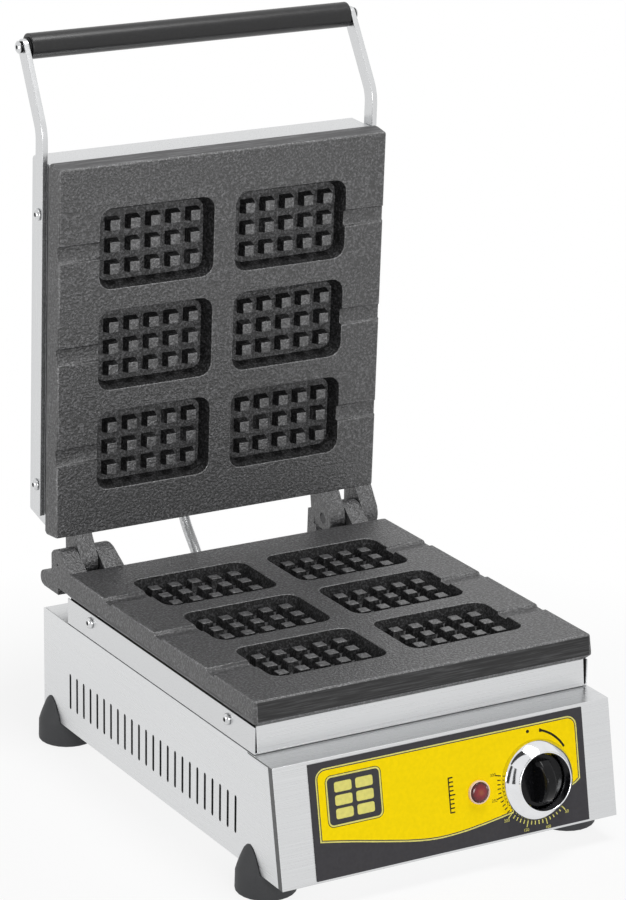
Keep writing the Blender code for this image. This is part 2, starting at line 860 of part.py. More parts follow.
def bottom_cover():
    """Flat cover resting on the lower flanges."""
    shape = bmesh.new()
    top = -base_bottom_depth + sheet + fit_gap + sheet
    block(shape, (-inner_half_width + fit_gap, face_place(base_bottom_depth) + face_return, top - sheet),
          (inner_half_width - fit_gap, base_rear - sheet - fit_gap, top))
    cover = piece("bottom_cover", shape, stainless)
    holes = bmesh.new()
    for place in bottom_screw_places():
        for side in (-1, 1):
            x = side * (base_half_width - side_flange / 2)
            rod(holes, screw_shank_radius + fit_gap, (x, place, top - sheet - overrun), (x, place, top + overrun), small_round_steps)
    boolean(cover, tool("bottom_cover_holes", holes))
    return cover


def bottom_screws():
    """Screws that hold the bottom cover to the flanges."""
    for place, end in zip(bottom_screw_places(), ("front", "rear")):
        for side, hand in ((-1, "left"), (1, "right")):
            shape = bmesh.new()
            x = side * (base_half_width - side_flange / 2)
            button_screw(shape, (x, place, -base_bottom_depth - fit_gap), (0, 0, -1), 2 * sheet + overrun)
            piece(f"bottom_screw_{end}_{hand}", shape, stainless, math.radians(40))


def foot_profile():
    """Half outline of the rubber bell, straight at the bottom and drawn in above."""
    top = foot_height + foot_ear_height
    neck = foot_inset
    points = [(0, 0), (foot_radius - foot_edge_break, 0), (foot_radius, foot_edge_break)]
    for i in range(foot_curve_steps + 1):
        share = i / foot_curve_steps
        radius = neck + (foot_radius - fit_gap - neck) * (1 - share ** foot_curve_power)
        points.append((radius, foot_straight + (top - foot_straight) * share))
    points.append((0, top))
    return points


def corner_foot(name, side, y):
    """Rubber foot whose outer half stands up outside the side panel."""
    x = side * (base_half_width - foot_inset)
    shape = bmesh.new()
    turned(shape, foot_profile(), foot_steps, Matrix.Translation((x, y, -table_depth)))
    foot = piece(name, shape, rubber, math.radians(35))
    inside = bmesh.new()
    reach = foot_radius + overrun
    outer = side * (base_half_width + fit_gap)
    inner = side * (base_half_width - foot_inset - reach)
    block(inside, (min(outer, inner), y - reach, -base_bottom_depth - fit_gap),
          (max(outer, inner), y + reach, -base_bottom_depth + foot_ear_height + overrun))
    boolean(foot, tool(name + "_seat", inside))
    return foot


def control_label():
    """Thin printed plate on the control face, cut round the knob and lamp."""
    shape = bmesh.new()
    block(shape, (-label_left, -label_bottom, fit_gap), (label_right, -label_top, fit_gap + label_thickness))
    label = piece("control_label", shape, lambda name: finish(name, "3A3B40", 0.45, 0.0))
    label.matrix_basis = face_frame()
    holes = bmesh.new()
    rod(holes, bush_radius + fit_gap, (knob_place, -controls_drop, -overrun), (knob_place, -controls_drop, overrun))
    rod(holes, lamp_barrel_radius + fit_gap, (lamp_place, -controls_drop, -overrun), (lamp_place, -controls_drop, overrun))
    boolean(label, tool("control_label_holes", holes))
    return label


def control_pieces():
    """Chrome bezel, lamp and the works behind the control face."""
    seat = label_thickness + 2 * fit_gap
    knob_frame = face_frame() @ Matrix.Translation((knob_place, -controls_drop, 0))
    lamp_frame = face_frame() @ Matrix.Translation((lamp_place, -controls_drop, 0))

    bezel = bmesh.new()
    rise = bezel_height - seat
    swell = bezel_radius - bezel_rim_radius
    profile = [(bezel_bore_radius, seat), (bezel_radius, seat), (bezel_radius, seat + rise * 0.18)]
    for share in (0.35, 0.75):
        profile.append((bezel_radius - swell * share, seat + rise * (0.18 + 0.82 * math.sin(share * math.pi / 2))))
    profile += [(bezel_rim_radius, bezel_height), (bezel_rim_radius - bezel_lip, bezel_height - bezel_lip / 2)]
    turned(bezel, profile, knob_steps)
    piece("knob_bezel", bezel, chrome, math.radians(40)).matrix_basis = knob_frame

    ring = bmesh.new()
    profile = [(lens_radius + fit_gap, seat), (lamp_bezel_radius, seat), (lamp_bezel_radius, seat + lamp_bezel_height * 0.5),
               (lamp_bezel_radius * 0.93, seat + lamp_bezel_height), (lens_radius + fit_gap, seat + lamp_bezel_height * 0.9)]
    turned(ring, profile, round_steps)
    piece("lamp_bezel", ring, lambda name: finish(name, "E8D2C6", 0.35, 0.0), math.radians(40)).matrix_basis = lamp_frame

    lens = bmesh.new()
    profile = [(0, seat), (lens_radius, seat), (lens_radius, lens_height * 0.6), (lens_radius * 0.8, lens_height * 0.88),
               (lens_radius * 0.45, lens_height), (0, lens_height)]
    turned(lens, profile, round_steps)
    piece("lamp_lens", lens, lambda name: finish(name, "8C1C1C", 0.18, 0.0), math.radians(40)).matrix_basis = lamp_frame

    barrel = bmesh.new()
    profile = [(0, -lamp_barrel_length), (lamp_barrel_radius, -lamp_barrel_length), (lamp_barrel_radius, seat - fit_gap),
               (0, seat - fit_gap)]
    turned(barrel, profile, round_steps)
    piece("lamp_body", barrel, black_plastic, math.radians(40)).matrix_basis = lamp_frame

    body = bmesh.new()
    back = -sheet - fit_gap
    block(body, (-thermostat_width / 2, -thermostat_height / 2, back - thermostat_depth),
          (thermostat_width / 2, thermostat_height / 2, back))
    thermostat = piece("thermostat_body", body, lambda name: finish(name, "D8D6CF", 0.5, 0.0))
    thermostat.matrix_basis = knob_frame
    bush = bmesh.new()
    rod(bush, bush_radius, (0, 0, back - overrun), (0, 0, seat), small_round_steps)
    boolean(thermostat, tool("thermostat_bush", bush), "UNION")
    bore = bmesh.new()
    rod(bore, shaft_radius + fit_gap, (0, 0, -shaft_length * 0.5), (0, 0, seat + overrun), small_round_steps)
    boolean(thermostat, tool("thermostat_bore", bore))


def wing_outline(share):
    """Side outline of the knob's wing as (y, z): flat foot, upright ends, arched back at a share of its height."""
    half = wing_length / 2 * (1 - (1 - share) / wing_arch_steps)
    foot = knob_disc_height - weld
    points = [(half, foot)]
    for i in range(wing_arch_steps + 1):
        place = 1 - 2 * i / wing_arch_steps
        back = wing_end_height + (knob_height - wing_end_height) * (1 - place * place)
        points.append((half * place, foot + (back - foot) * share))
    points.append((-half, foot))
    return points


def control_knob(pivot):
    """Black knob with an upright wing, and the shaft it turns."""
    seat = label_thickness + 3 * fit_gap
    disc = bezel_bore_radius - fit_gap
    shape = bmesh.new()
    profile = [(0, seat), (disc, seat), (disc, knob_disc_height - plate_edge_break),
               (disc - plate_edge_break, knob_disc_height), (0, knob_disc_height)]
    turned(shape, profile, knob_steps)
    knob = piece("control_knob", shape, black_plastic, math.radians(35))
    wing = bmesh.new()
    foot, back = wing_foot_width / 2, wing_top_width / 2
    flanks = ((foot, wing_flank_share), (back, wing_shoulder_share), (back - plate_edge_break, 1))
    sections = [(-across, share) for across, share in flanks] + list(reversed(flanks))
    loft(wing, [[(across, y, z) for y, z in wing_outline(share)] for across, share in sections])
    boolean(knob, tool("control_knob_wing", wing), "UNION")
    socket = bmesh.new()
    rod(socket, shaft_radius + fit_gap, (0, 0, -overrun), (0, 0, knob_height * 0.6))
    boolean(knob, tool("control_knob_socket", socket))

    spindle = bmesh.new()
    start = -shaft_length * 0.5 + fit_gap
    rod(spindle, shaft_radius, (0, 0, start), (0, 0, knob_height * 0.6 - fit_gap))
    shaft = piece("thermostat_shaft", spindle, stainless, math.radians(40))
    for part in (knob, shaft):
        part.parent = pivot
    for modifier in knob.modifiers:
        modifier.object.parent = pivot


def element_route(depth, direction):
    """Serpentine of a tubular heater, its two ends turned away from the plate."""
    pitch = 2 * element_half_span / (element_legs - 1)
    tail = direction * (tray_floor_depth + overrun - element_depth)
    bend = element_radius * 2
    points = [(-element_half_span, element_rear_place, depth - tail), (-element_half_span, element_rear_place, depth - direction * bend),
              (-element_half_span, element_rear_place - bend, depth)]
    for leg in range(element_legs):
        x = -element_half_span + leg * pitch
        forward = leg % 2 == 0
        turn_place = element_front_place + pitch / 2 if forward else element_rear_place - pitch
        if leg == element_legs - 1:
            break
        sign = -1 if forward else 1
        for i in range(6):
            turn = math.pi * i / 5
            points.append((x + pitch / 2 - pitch / 2 * math.cos(turn), turn_place + sign * pitch / 2 * math.sin(turn), depth))
    points += [(element_half_span, element_rear_place - bend, depth), (element_half_span, element_rear_place, depth - direction * bend),
               (element_half_span, element_rear_place, depth - tail)]
    return points


def heating(prefix, up, board_thickness):
    """Heater, its clamp strap and the insulation board; up is 1 over the upper plate, -1 under the lower."""
    level = up * element_depth
    route = element_route(level, -up)
    if up > 0:
        route = route[2:-2]
    tube(prefix + "_heating_element", [Vector(p) for p in route], element_radius,
                  lambda name: finish(name, "5B4A3C", 0.55, 0.8), element_sides)

    middle = plate_length / 2
    low, high = sorted((up * clamp_depth, up * (clamp_depth + clamp_thickness)))
    outline = []
    for sx, sy in ((1, 1), (-1, 1), (-1, -1), (1, -1)):
        bar = [(clamp_half_length, clamp_spread + clamp_width / 2), (clamp_half_length, clamp_spread - clamp_width / 2),
               (clamp_width / 2, clamp_spread - clamp_width / 2)]
        corner = [(sx * x, middle + sy * y) for x, y in bar]
        outline += corner[::-1] if sx * sy > 0 else corner
    strap = bmesh.new()
    prism(strap, outline, "Z", low, high)
    clamp = piece(prefix + "_element_clamp", strap, stainless)
    hole = bmesh.new()
    rod(hole, screw_shank_radius + fit_gap, (0, middle, low - overrun), (0, middle, high + overrun), small_round_steps)
    boolean(clamp, tool(prefix + "_element_clamp_hole", hole))
    screw = bmesh.new()
    button_screw(screw, (0, middle, up * (clamp_depth + clamp_thickness + fit_gap)), (0, 0, up), clamp_screw_length)
    piece(prefix + "_clamp_screw", screw, stainless, math.radians(40))

    board = bmesh.new()
    near = clamp_depth + clamp_thickness + screw_head_height + 2 * fit_gap
    low, high = sorted((up * near, up * (near + board_thickness)))
    block(board, (-insulation_half_width, insulation_front, low), (insulation_half_width, insulation_rear, high))
    pad = piece(prefix + "_insulation", board, wool_board)
    notches = bmesh.new()
    for side in (-1, 1):
        reach = element_radius + sheet
        block(notches, (side * element_half_span - reach, element_rear_place - 2 * reach, low - overrun),
              (side * element_half_span + reach, insulation_rear + overrun, high + overrun))
    boolean(pad, tool(prefix + "_insulation_notches", notches))


def lid_cover():
    """Folded stainless pan over the upper plate, its hinge end leaning in."""
    def ring(inset, height, rounding):
        rise = (height - cover_lip_height) / (cover_top_height - cover_lip_height)
        front = cover_front_place + inset
        rear = cover_rear_place - cover_rear_lean * rise - inset
        width = 2 * (cover_half_width - inset)
        outline = rounded((0, (front + rear) / 2), width, rear - front, rounding, 2)
        return [(x, y, height) for x, y in outline]

    shape = bmesh.new()
    shoulder = cover_top_height - cover_edge_radius
    loft(shape, [
        ring(0, cover_lip_height, cover_edge_radius),
        ring(0, shoulder, cover_edge_radius),
        ring(cover_edge_radius * 0.3, cover_top_height - cover_edge_radius * 0.3, cover_edge_radius),
        ring(cover_edge_radius, cover_top_height, cover_edge_radius),
    ])
    cover = piece("lid_cover", shape, stainless, math.radians(25))
    hollow = bmesh.new()
    loft(hollow, [
        ring(sheet, cover_lip_height - overrun, cover_edge_radius - sheet / 2),
        ring(sheet, cover_top_height - sheet, cover_edge_radius - sheet / 2),
    ])
    boolean(cover, tool("lid_cover_hollow", hollow))
    holes = bmesh.new()
    for side in (-1, 1):
        for y in (boss_front_place, boss_rear_place):
            rod(holes, screw_shank_radius + fit_gap, (side * (cover_half_width - overrun), y, half_gap + screw_line_depth),
                (side * (cover_half_width + overrun), y, half_gap + screw_line_depth), small_round_steps)
    rod(holes, gland_radius, (conduit_place, cover_rear_place - 3 * overrun, conduit_cover_height),
        (conduit_place, cover_rear_place + overrun, conduit_cover_height))
    boolean(cover, tool("lid_cover_holes", holes))
    return cover


def arm_outline():
    """Side outline of a handle arm as (y, z) and lean: along the lid, round the bend, up to a round end."""
    half = arm_width / 2
    centre = Vector((arm_bend_tangent - arm_bend_reach, arm_middle_height + arm_bend_radius))

    def bend(radius):
        points = []
        for i in range(arm_bend_steps + 1):
            turn = -math.pi / 2 - arm_slope * i / arm_bend_steps
            points.append((centre.x + radius * math.cos(turn), centre.y + radius * math.sin(turn), 0))
        return points

    below = [(arm_rear_place, arm_middle_height - half, 0)] + bend(arm_bend_radius + half)
    above = bend(arm_bend_radius - half)[::-1] + [(arm_rear_place, arm_middle_height + half, 0)]
    end = []
    for i in range(arm_end_steps + 1):
        turn = -math.pi / 2 - arm_slope - math.pi * i / arm_end_steps
        beyond = half * math.sin(math.pi * i / arm_end_steps)
        lean = arm_lean * (1 + beyond / arm_upper_length)
        end.append((grip_place + half * math.cos(turn), grip_height + half * math.sin(turn), lean))
    return below, end, above


def arm_bar(side):
    """A handle arm: flat bar that leans inwards above a bend across it."""
    below, end, above = arm_outline()
    shape = bmesh.new()
    faces = []
    for start in (arm_inner, arm_outer):
        faces.append([shape.verts.new((side * (start - lean), y, z)) for y, z, lean in below + end + above])
    near, far = faces
    for i in range(len(near)):
        j = (i + 1) % len(near)
        shape.faces.new((near[i], near[j], far[j], far[i]))
    first = len(below) - 1
    last = len(below) + len(end)
    for corners in faces:
        shape.faces.new(corners[:first + 1] + corners[last:])
        shape.faces.new(corners[first:last + 1])
    return shape


def handle():
    """Two flat arms, the black grip tube, its rod, washers and nuts."""
    for side, name in ((-1, "handle_arm_left"), (1, "handle_arm_right")):
        arm = piece(name, arm_bar(side), stainless)
        holes = bmesh.new()
        rod(holes, rod_radius + fit_gap, (side * (arm_inner - arm_lean - overrun), grip_place, grip_height),
            (side * (arm_outer + overrun), grip_place, grip_height))
        for y in (boss_front_place, boss_rear_place):
            rod(holes, screw_shank_radius + fit_gap, (side * (arm_inner - overrun), y, half_gap + screw_line_depth),
                (side * (arm_outer + overrun), y, half_gap + screw_line_depth), small_round_steps)
        boolean(arm, tool(name + "_holes", holes))

    axis = Matrix.Translation((0, grip_place, grip_height)) @ Matrix.Rotation(math.pi / 2, 4, "Y")
    shape = bmesh.new()
    edge = grip_edge_break
    profile = [(grip_bore_radius, -grip_half_length), (grip_radius - edge, -grip_half_length), (grip_radius, -grip_half_length + edge),
               (grip_radius, grip_half_length - edge), (grip_radius - edge, grip_half_length), (grip_bore_radius, grip_half_length)]
    turned(shape, profile, round_steps, axis)
    piece("handle_grip", shape, black_plastic, math.radians(40))

    head = arm_outer - arm_lean + lean_play + fit_gap
    dome = [(grip_nut_radius, 0), (grip_nut_radius * 0.95, grip_nut_height * 0.5), (grip_nut_radius * 0.55, grip_nut_height),
            (0, grip_nut_height)]
    shape = bmesh.new()
    profile = [(0, head + grip_nut_height * 0.5), (rod_radius, head + grip_nut_height * 0.5), (rod_radius, -head)]
    turned(shape, profile + [(r, -head - h) for r, h in dome], round_steps, axis)
    piece("grip_bolt", shape, stainless, math.radians(40))

    shape = bmesh.new()
    bore = rod_radius + fit_gap
    seat = head + grip_nut_height * 0.5 + fit_gap
    turned(shape, [(0, seat), (bore, seat), (bore, head)] + [(r, head + h) for r, h in dome], round_steps, axis)
    piece("grip_nut", shape, stainless, math.radians(40))

    for side, hand in ((-1, "left"), (1, "right")):
        shape = bmesh.new()
        near = grip_half_length + fit_gap
        low, high = sorted((side * near, side * (near + washer_thickness)))
        turned(shape, [(rod_radius + fit_gap, low), (washer_radius, low), (washer_radius, high), (rod_radius + fit_gap, high)],
               round_steps, axis)
        piece(f"grip_washer_{hand}", shape, stainless, math.radians(40))


def gland(name, place, material, bore):
    """Threaded bush with a flange and a dome round the cable."""
    shape = bmesh.new()
    neck = gland_radius - fit_gap
    profile = [(bore, -gland_height), (neck, -gland_height), (neck, fit_gap), (gland_flange_radius, fit_gap),
               (gland_flange_radius, gland_flange_height), (neck, gland_flange_height + weld), (neck * 0.85, gland_height),
               (bore, gland_height)]
    turned(shape, profile, round_steps)
    made = piece(name, shape, material, math.radians(40))
    made.matrix_basis = place
    return made


def lid_gland_frame():
    """Matrix on the leaning hinge end of the cover, Z out of it."""
    height = conduit_cover_height
    rise = (height - cover_lip_height) / (cover_top_height - cover_lip_height)
    lean = math.atan2(cover_rear_lean, cover_top_height - cover_lip_height)
    place = (conduit_place, cover_rear_place - cover_rear_lean * rise, height)
    return Matrix.Translation(place) @ Matrix.Rotation(lean - math.pi / 2, 4, "X")


def cable_ways(lid_turn):
    """Glands of the lid lead and the inlet, and the sleeve between base and lid."""
    deck = Matrix.Translation((conduit_place, conduit_deck_place, -base_top_depth))
    gland("conduit_gland_base", deck, chrome, conduit_radius + fit_gap)
    inlet = Matrix.Translation((inlet_place, base_rear, -inlet_depth)) @ Matrix.Rotation(-math.pi / 2, 4, "X")
    gland("inlet_gland", inlet, black_plastic, conduit_radius)
    lid_end = gland("conduit_gland_lid", lid_gland_frame(), chrome, conduit_radius + fit_gap)

    out = lid_turn @ lid_gland_frame()
    inside = Vector((0, 0, -gland_height))
    outside = Vector((0, 0, gland_height + fit_gap))
    base_way = (deck @ outside - deck @ inside).normalized()
    lid_way = (out @ outside - out @ inside).normalized()
    free = slack_route(deck @ outside, base_way, out @ outside, lid_way, conduit_pull, conduit_points)
    route = [deck @ inside] + free + [out @ inside]
    tube("lid_conduit", route, conduit_radius, lambda name: finish(name, "B9BBBC", 0.35, 1.0), 2)
    return lid_end


def base_electrics():
    """Terminal block in the base and the thermostat's bulb under the lower plate."""
    shape = bmesh.new()
    top = -base_bottom_depth + 2 * sheet + 2 * fit_gap
    block(shape, (inlet_place - terminal_half_length, terminal_place - terminal_half_width, top),
          (inlet_place + terminal_half_length, terminal_place + terminal_half_width, top + terminal_height))
    body = piece("terminal_block", shape, lambda name: finish(name, "E6E2D6", 0.6, 0.0))
    ways = bmesh.new()
    pitch = 2 * terminal_half_length / terminal_ways
    for i in range(terminal_ways):
        x = inlet_place - terminal_half_length + (i + 0.5) * pitch
        rod(ways, pitch * 0.3, (x, terminal_place, top + terminal_height * 0.4), (x, terminal_place, top + terminal_height + overrun),
            small_round_steps)
    boolean(body, tool("terminal_block_wells", ways))

    shape = bmesh.new()
    depth = -plate_bottom - fit_gap - bulb_radius
    middle = plate_length / 2
    rod(shape, bulb_radius, (bulb_place, middle - bulb_length / 2, depth), (bulb_place, middle + bulb_length / 2, depth),
        small_round_steps)
    piece("thermostat_bulb", shape, lambda name: finish(name, "B87B4B", 0.3, 1.0), math.radians(40))


def stand_on_origin(machine):
    """Move the machine so that the middle of its box stands on the origin."""
    bpy.context.view_layer.update()
    graph = bpy.context.evaluated_depsgraph_get()
    low = Vector((math.inf,) * 3)
    high = Vector((-math.inf,) * 3)
    for thing in bpy.context.scene.objects:
        if thing.type == "EMPTY" or thing.hide_render:
            continue
        mesh = thing.evaluated_get(graph).to_mesh()
        for vertex in mesh.vertices:
            place = thing.matrix_world @ vertex.co
            low = Vector(map(min, low, place))
            high = Vector(map(max, high, place))
        thing.evaluated_get(graph).to_mesh_clear()
    machine.location = (-(low.x + high.x) / 2, -(low.y + high.y) / 2, -low.z)


def empty(name, frame):
    """A named empty that carries pieces."""
    made = bpy.data.objects.new(name, None)
    bpy.context.collection.objects.link(made)
    made.matrix_basis = frame
    return made


def build():
    """Make every piece in the closed machine's axes, then open the lid and set it down."""
    for thing in list(bpy.data.objects):
        bpy.data.objects.remove(thing, do_unlink=True)

    machine = empty("machine", Matrix.Identity(4))
    pin_frame = Matrix.Translation((0, pin_place, 0))
    lid_pivot = empty("lid_pivot", pin_frame @ Matrix.Rotation(-lid_open_angle, 4, "X"))
    knob_pivot = empty("knob_pivot", face_frame() @ Matrix.Translation((knob_place, -controls_drop, 0)))
    lid_turn = lid_pivot.matrix_basis @ pin_frame.inverted()

    lower = waffle_casting("lower_plate")
    lower.matrix_basis = Matrix.Translation((0, 0, -half_gap))
    upper = waffle_casting("upper_plate")
    upper.matrix_basis = Matrix.Translation((0, 0, half_gap)) @ Matrix.Rotation(math.pi, 4, "Y")

    before_lid = set(bpy.data.objects) - {upper}
    cover = lid_cover()
    handle()
    side_screws("arm_screw", arm_outer, 1)
    heating("upper", 1, upper_insulation_thickness)
    lid_pieces = set(bpy.data.objects) - before_lid
    lid_pieces |= {m.object for m in upper.modifiers}

    hinge_pins()
    plate_tray()
    side_screws("tray_screw", tray_half_width, -1)
    heating("lower", -1, lower_insulation_thickness)
    side_panel(-1, "side_panel_left")
    side_panel(1, "side_panel_right")
    front_panel()
    rear_panel()
    bottom_cover()
    bottom_screws()
    for side, hand in ((-1, "left"), (1, "right")):
        corner_foot(f"foot_front_{hand}", side, foot_front_place)
        corner_foot(f"foot_rear_{hand}", side, foot_rear_place)
    control_label()
    control_pieces()
    control_knob(knob_pivot)
    lid_pieces.add(cable_ways(lid_turn))
    base_electrics()

    for thing in list(bpy.data.objects):
        for step in thing.modifiers:
            if step.type == "BOOLEAN":
                step.object.matrix_basis = thing.matrix_basis.copy()
    for thing in lid_pieces:
        hang(thing, lid_pivot, pin_frame.inverted())
    for thing in list(bpy.data.objects):
        if thing.parent is None and thing is not machine:
            hang(thing, machine)
    stand_on_origin(machine)


build()
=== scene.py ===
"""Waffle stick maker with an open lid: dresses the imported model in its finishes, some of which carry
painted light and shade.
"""

import json
import math

import bmesh
import bpy
from mathutils import Matrix, Vector

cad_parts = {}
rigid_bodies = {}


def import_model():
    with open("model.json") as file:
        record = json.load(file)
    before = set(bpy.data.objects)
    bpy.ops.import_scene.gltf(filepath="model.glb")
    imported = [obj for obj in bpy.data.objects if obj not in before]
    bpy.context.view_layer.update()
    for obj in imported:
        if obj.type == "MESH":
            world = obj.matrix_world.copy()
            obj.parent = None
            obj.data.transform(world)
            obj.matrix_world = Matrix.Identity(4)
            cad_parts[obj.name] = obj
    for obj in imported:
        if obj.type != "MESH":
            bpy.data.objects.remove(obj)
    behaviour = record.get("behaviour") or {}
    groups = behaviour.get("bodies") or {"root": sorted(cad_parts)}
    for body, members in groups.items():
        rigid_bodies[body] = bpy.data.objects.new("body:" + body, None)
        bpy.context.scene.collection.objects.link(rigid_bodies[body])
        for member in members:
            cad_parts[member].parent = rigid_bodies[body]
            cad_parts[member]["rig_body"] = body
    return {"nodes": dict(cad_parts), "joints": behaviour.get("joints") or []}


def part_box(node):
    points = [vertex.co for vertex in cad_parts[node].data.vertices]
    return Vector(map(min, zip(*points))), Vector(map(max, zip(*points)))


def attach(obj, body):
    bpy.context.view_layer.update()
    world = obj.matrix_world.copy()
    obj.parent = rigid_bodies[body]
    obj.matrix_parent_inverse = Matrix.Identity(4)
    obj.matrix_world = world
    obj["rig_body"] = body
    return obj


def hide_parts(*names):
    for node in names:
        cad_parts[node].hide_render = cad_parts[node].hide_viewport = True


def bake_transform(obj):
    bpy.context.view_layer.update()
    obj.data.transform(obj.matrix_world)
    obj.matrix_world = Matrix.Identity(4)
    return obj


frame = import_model()

bl_info = {
    "name": "Waffle Stick Maker",
    "version": (1, 0, 0),
    "blender": (4, 5, 0),
    "location": "3D View > Sidebar > Waffle Maker",
    "description": "Builds a hinged waffle stick maker with its finishes and a photo stage",
    "category": "Add Mesh",
}

mm = 0.001
X, Y, Z = 0, 1, 2
quarter = math.pi / 2

# Photo frame and camera
photo_width = 626
photo_height = 900
sensor_height = 36.0
focal_pixels = 3655.79
principal_x = 310.4649
principal_y = 448.8675
camera_place = (-1.2938, -2.202788, 1.1022)
camera_turn = math.radians(30.2802)
camera_dip = math.radians(18.1629)
camera_roll = math.radians(0.8691)
view_reach = 20.0

# Stage: lamps with their places and powers, and flags by their corners
floor_half = 3.0
floor_drop = 0.2 * mm
stage_target = (0.0, 0.0, 0.24)
lamps = (
    ("top_lamp", (0.25, -0.35, 2.2), 24.0),
    ("front_lamp", (-0.55, -2.3, 0.75), 22.0),
    ("left_lamp", (-2.4, 0.1, 0.45), 10.0),
)
lamp_size = 0.8
sky_level = 0.20
backdrop_level = 1.0
floor_glow_share = 0.86
flags = (
    ((-1.60, -0.45, 1.60), (-0.20, -0.45, 1.60), (-0.20, -0.15, 1.60), (-1.60, -0.15, 1.60)),
    ((-1.05, -3.00, 0.70), (-2.15, -2.40, 0.70), (-2.15, -2.40, 1.90), (-1.05, -3.00, 1.90)),
    ((-1.45, -0.62, 0.02), (-1.45, -0.36, 0.02), (-1.45, -0.36, 1.40), (-1.45, -0.62, 1.40)),
    ((-1.45, -0.98, 0.02), (-1.45, -0.80, 0.02), (-1.45, -0.80, 1.40), (-1.45, -0.98, 1.40)),
)
shadow_near = 0.30
shadow_far = 0.52
surround_white = "FFFFFF"
floor_white = "F2F2F2"
flag_grey = "484848"

# Shared tolerances and steps
weld = 0.002 * mm
flat_angle = math.radians(0.6)
sharp_angle = math.radians(34)
shortest_edge = 0.9 * mm
inset_least_share = 0.3
fine_steps = 96
round_steps = 48
small_steps = 24
edge_steps = 2
lip_steps = 6
corner_steps = 8

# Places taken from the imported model
hinge = next(j for j in frame["joints"] if j["name"] == "lid_hinge")
dial = next(j for j in frame["joints"] if j["name"] == "thermostat_turn")
pin_place = Vector(hinge["pos_m"])
face_out = Vector(dial["axis"]).normalized()
face_tilt = math.atan2(face_out.z, -face_out.y)
lid_open = math.radians(hinge["range_deg"][1])
lid_turn = Matrix.Rotation(-lid_open, 3, "X")
dial_frame = Matrix.Translation(dial["pos_m"]) @ Matrix.Rotation(quarter - face_tilt, 4, "X")

# Control face, measured across and down from the middle of its top fold
knob_across = 73.0 * mm
knob_down = 48.0 * mm
lamp_across = 23.7 * mm
label_face = 0.7 * mm
print_layer = 0.03 * mm
label_seat = 1.0 * mm

# Disc of the knob
disc_radius = 19.3 * mm
disc_seat = 1.3 * mm
disc_top = 6.2 * mm
disc_edge = 1.0 * mm

# Wing of the knob: an arched back, wide at its foot
knob_height = 22.2 * mm
wing_end_height = 13.5 * mm
wing_length = 31.0 * mm
wing_foot_width = 12.4 * mm
wing_back_width = 8.2 * mm
wing_flank_share = 0.62
wing_shoulder_share = 0.90
wing_round = 1.4 * mm
wing_round_steps = 4
wing_arch_steps = 16
wing_taper = 0.1
wing_sink = 0.5 * mm
wing_edge = 0.6 * mm

# Chrome bezel: a short skirt, a full swell and a rolled rim
bezel_radius = 29.5 * mm
bezel_rim = 22.2 * mm
bezel_bore = 19.6 * mm
bezel_height = 14.0 * mm
bezel_lip = 0.6 * mm
bezel_skirt = 3.0 * mm
swell_steps = 16
swell_power = 0.8

# Lamp: moulded ring and domed lens
lamp_radius = 8.6 * mm
lamp_bore = 7.5 * mm
lamp_height = 3.2 * mm
lamp_round = 0.5 * mm
lamp_bevel = 0.3 * mm
lamp_sink = 0.4 * mm
lens_radius = 7.2 * mm
lens_height = 4.8 * mm
lens_shoulder = 2.6 * mm
lens_steps = 9

# Printed layers of the label, from the film up
stripe_layer, gap_layer, field_layer, mark_layer, line_layer, plaque_layer, pocket_layer = range(7)

# Yellow field, across and up from the middle of the top fold; its lower edge is in millimetres
field_left = -107.5 * mm
field_right = 110.6 * mm
field_top = -7.1 * mm
field_corner = 8.0 * mm
field_low_edge = (
    (-107.5, -59.2), (-82.5, -63.6), (-57.5, -68.6), (-32.5, -73.2), (-13.8, -75.3), (5.0, -75.0),
    (23.8, -73.1), (43.8, -70.2), (73.0, -65.4), (101.2, -59.2), (110.6, -54.4),
)
field_steps = 6
field_inset_share = 1.7
fade_reach = 0.2

# Plaque with its six pockets, across and up from the middle of the top fold
plaque_place = (-77.5 * mm, -31.8 * mm)
plaque_size = (45.5 * mm, 37.5 * mm)
plaque_corner = 5.0 * mm
plaque_edge_share = 0.5
cell_size = (14.0 * mm, 7.4 * mm)
cell_step = (8.6 * mm, 9.6 * mm)
cell_corner = 1.6 * mm
cell_steps = 4

# Comb-shaped heating mark, across and up from the middle of the top fold
comb_left = -0.9 * mm
comb_top = -32.9 * mm
comb_bottom = -59.2 * mm
comb_line = 1.0 * mm
comb_lap = 0.1 * mm
comb_teeth = 9
comb_short = 4.2 * mm
comb_long = 5.4 * mm

# Printed dial round the knob, measured across and down from the middle of the top fold
dot_across = 68.7 * mm
dot_down = 12.1 * mm
dot_radius = 1.3 * mm
wedge_steps = 24
wedge_start = math.radians(9)
wedge_end = math.radians(53)
wedge_radius = 35.6 * mm
wedge_fall = 3.4 * mm
wedge_thickness = 1.7 * mm
wedge_head = 2.6 * mm
wedge_head_share = 0.06
tick_count = 26
tick_group = 5
tick_start = math.radians(140)
tick_end = math.radians(285)
tick_foot = 30.4 * mm
tick_short = 33.2 * mm
tick_long = 35.2 * mm
tick_half = 0.4 * mm
figure_radius = 37.4 * mm
figure_height = 3.2 * mm
figures = ("50", "100", "150", "200", "250", "300")

# Finishes of a cast plate, after its plain coating: a lighter coat on the peg tips and rounded rims as
# painted highlight, a darker coat on the pocket walls as painted shade, a lighter coat on the pocket floors
# as painted light, and the ground sides and front
painted_highlight, pocket_shade, pocket_light, ground_side, ground_front = range(1, 6)

# Ground walls of the cast slabs, measured from the hinge pin
slab_rear = -20.5 * mm
edge_play = 1.2 * mm
wall_lean = 0.35
wall_least = 400 * mm * mm
# Tone of the ground front as a share of the sides': the lower plate's is darkened as painted shade
lower_front_shade = 0.27
upper_front_shade = 1.0

# Pegs and pockets, down from the cooking face
pocket_depth = 11.0 * mm
tip_recess = 3.0 * mm
tip_play = 0.4 * mm
tip_reach = 20.0 * mm
facing_least = 0.9

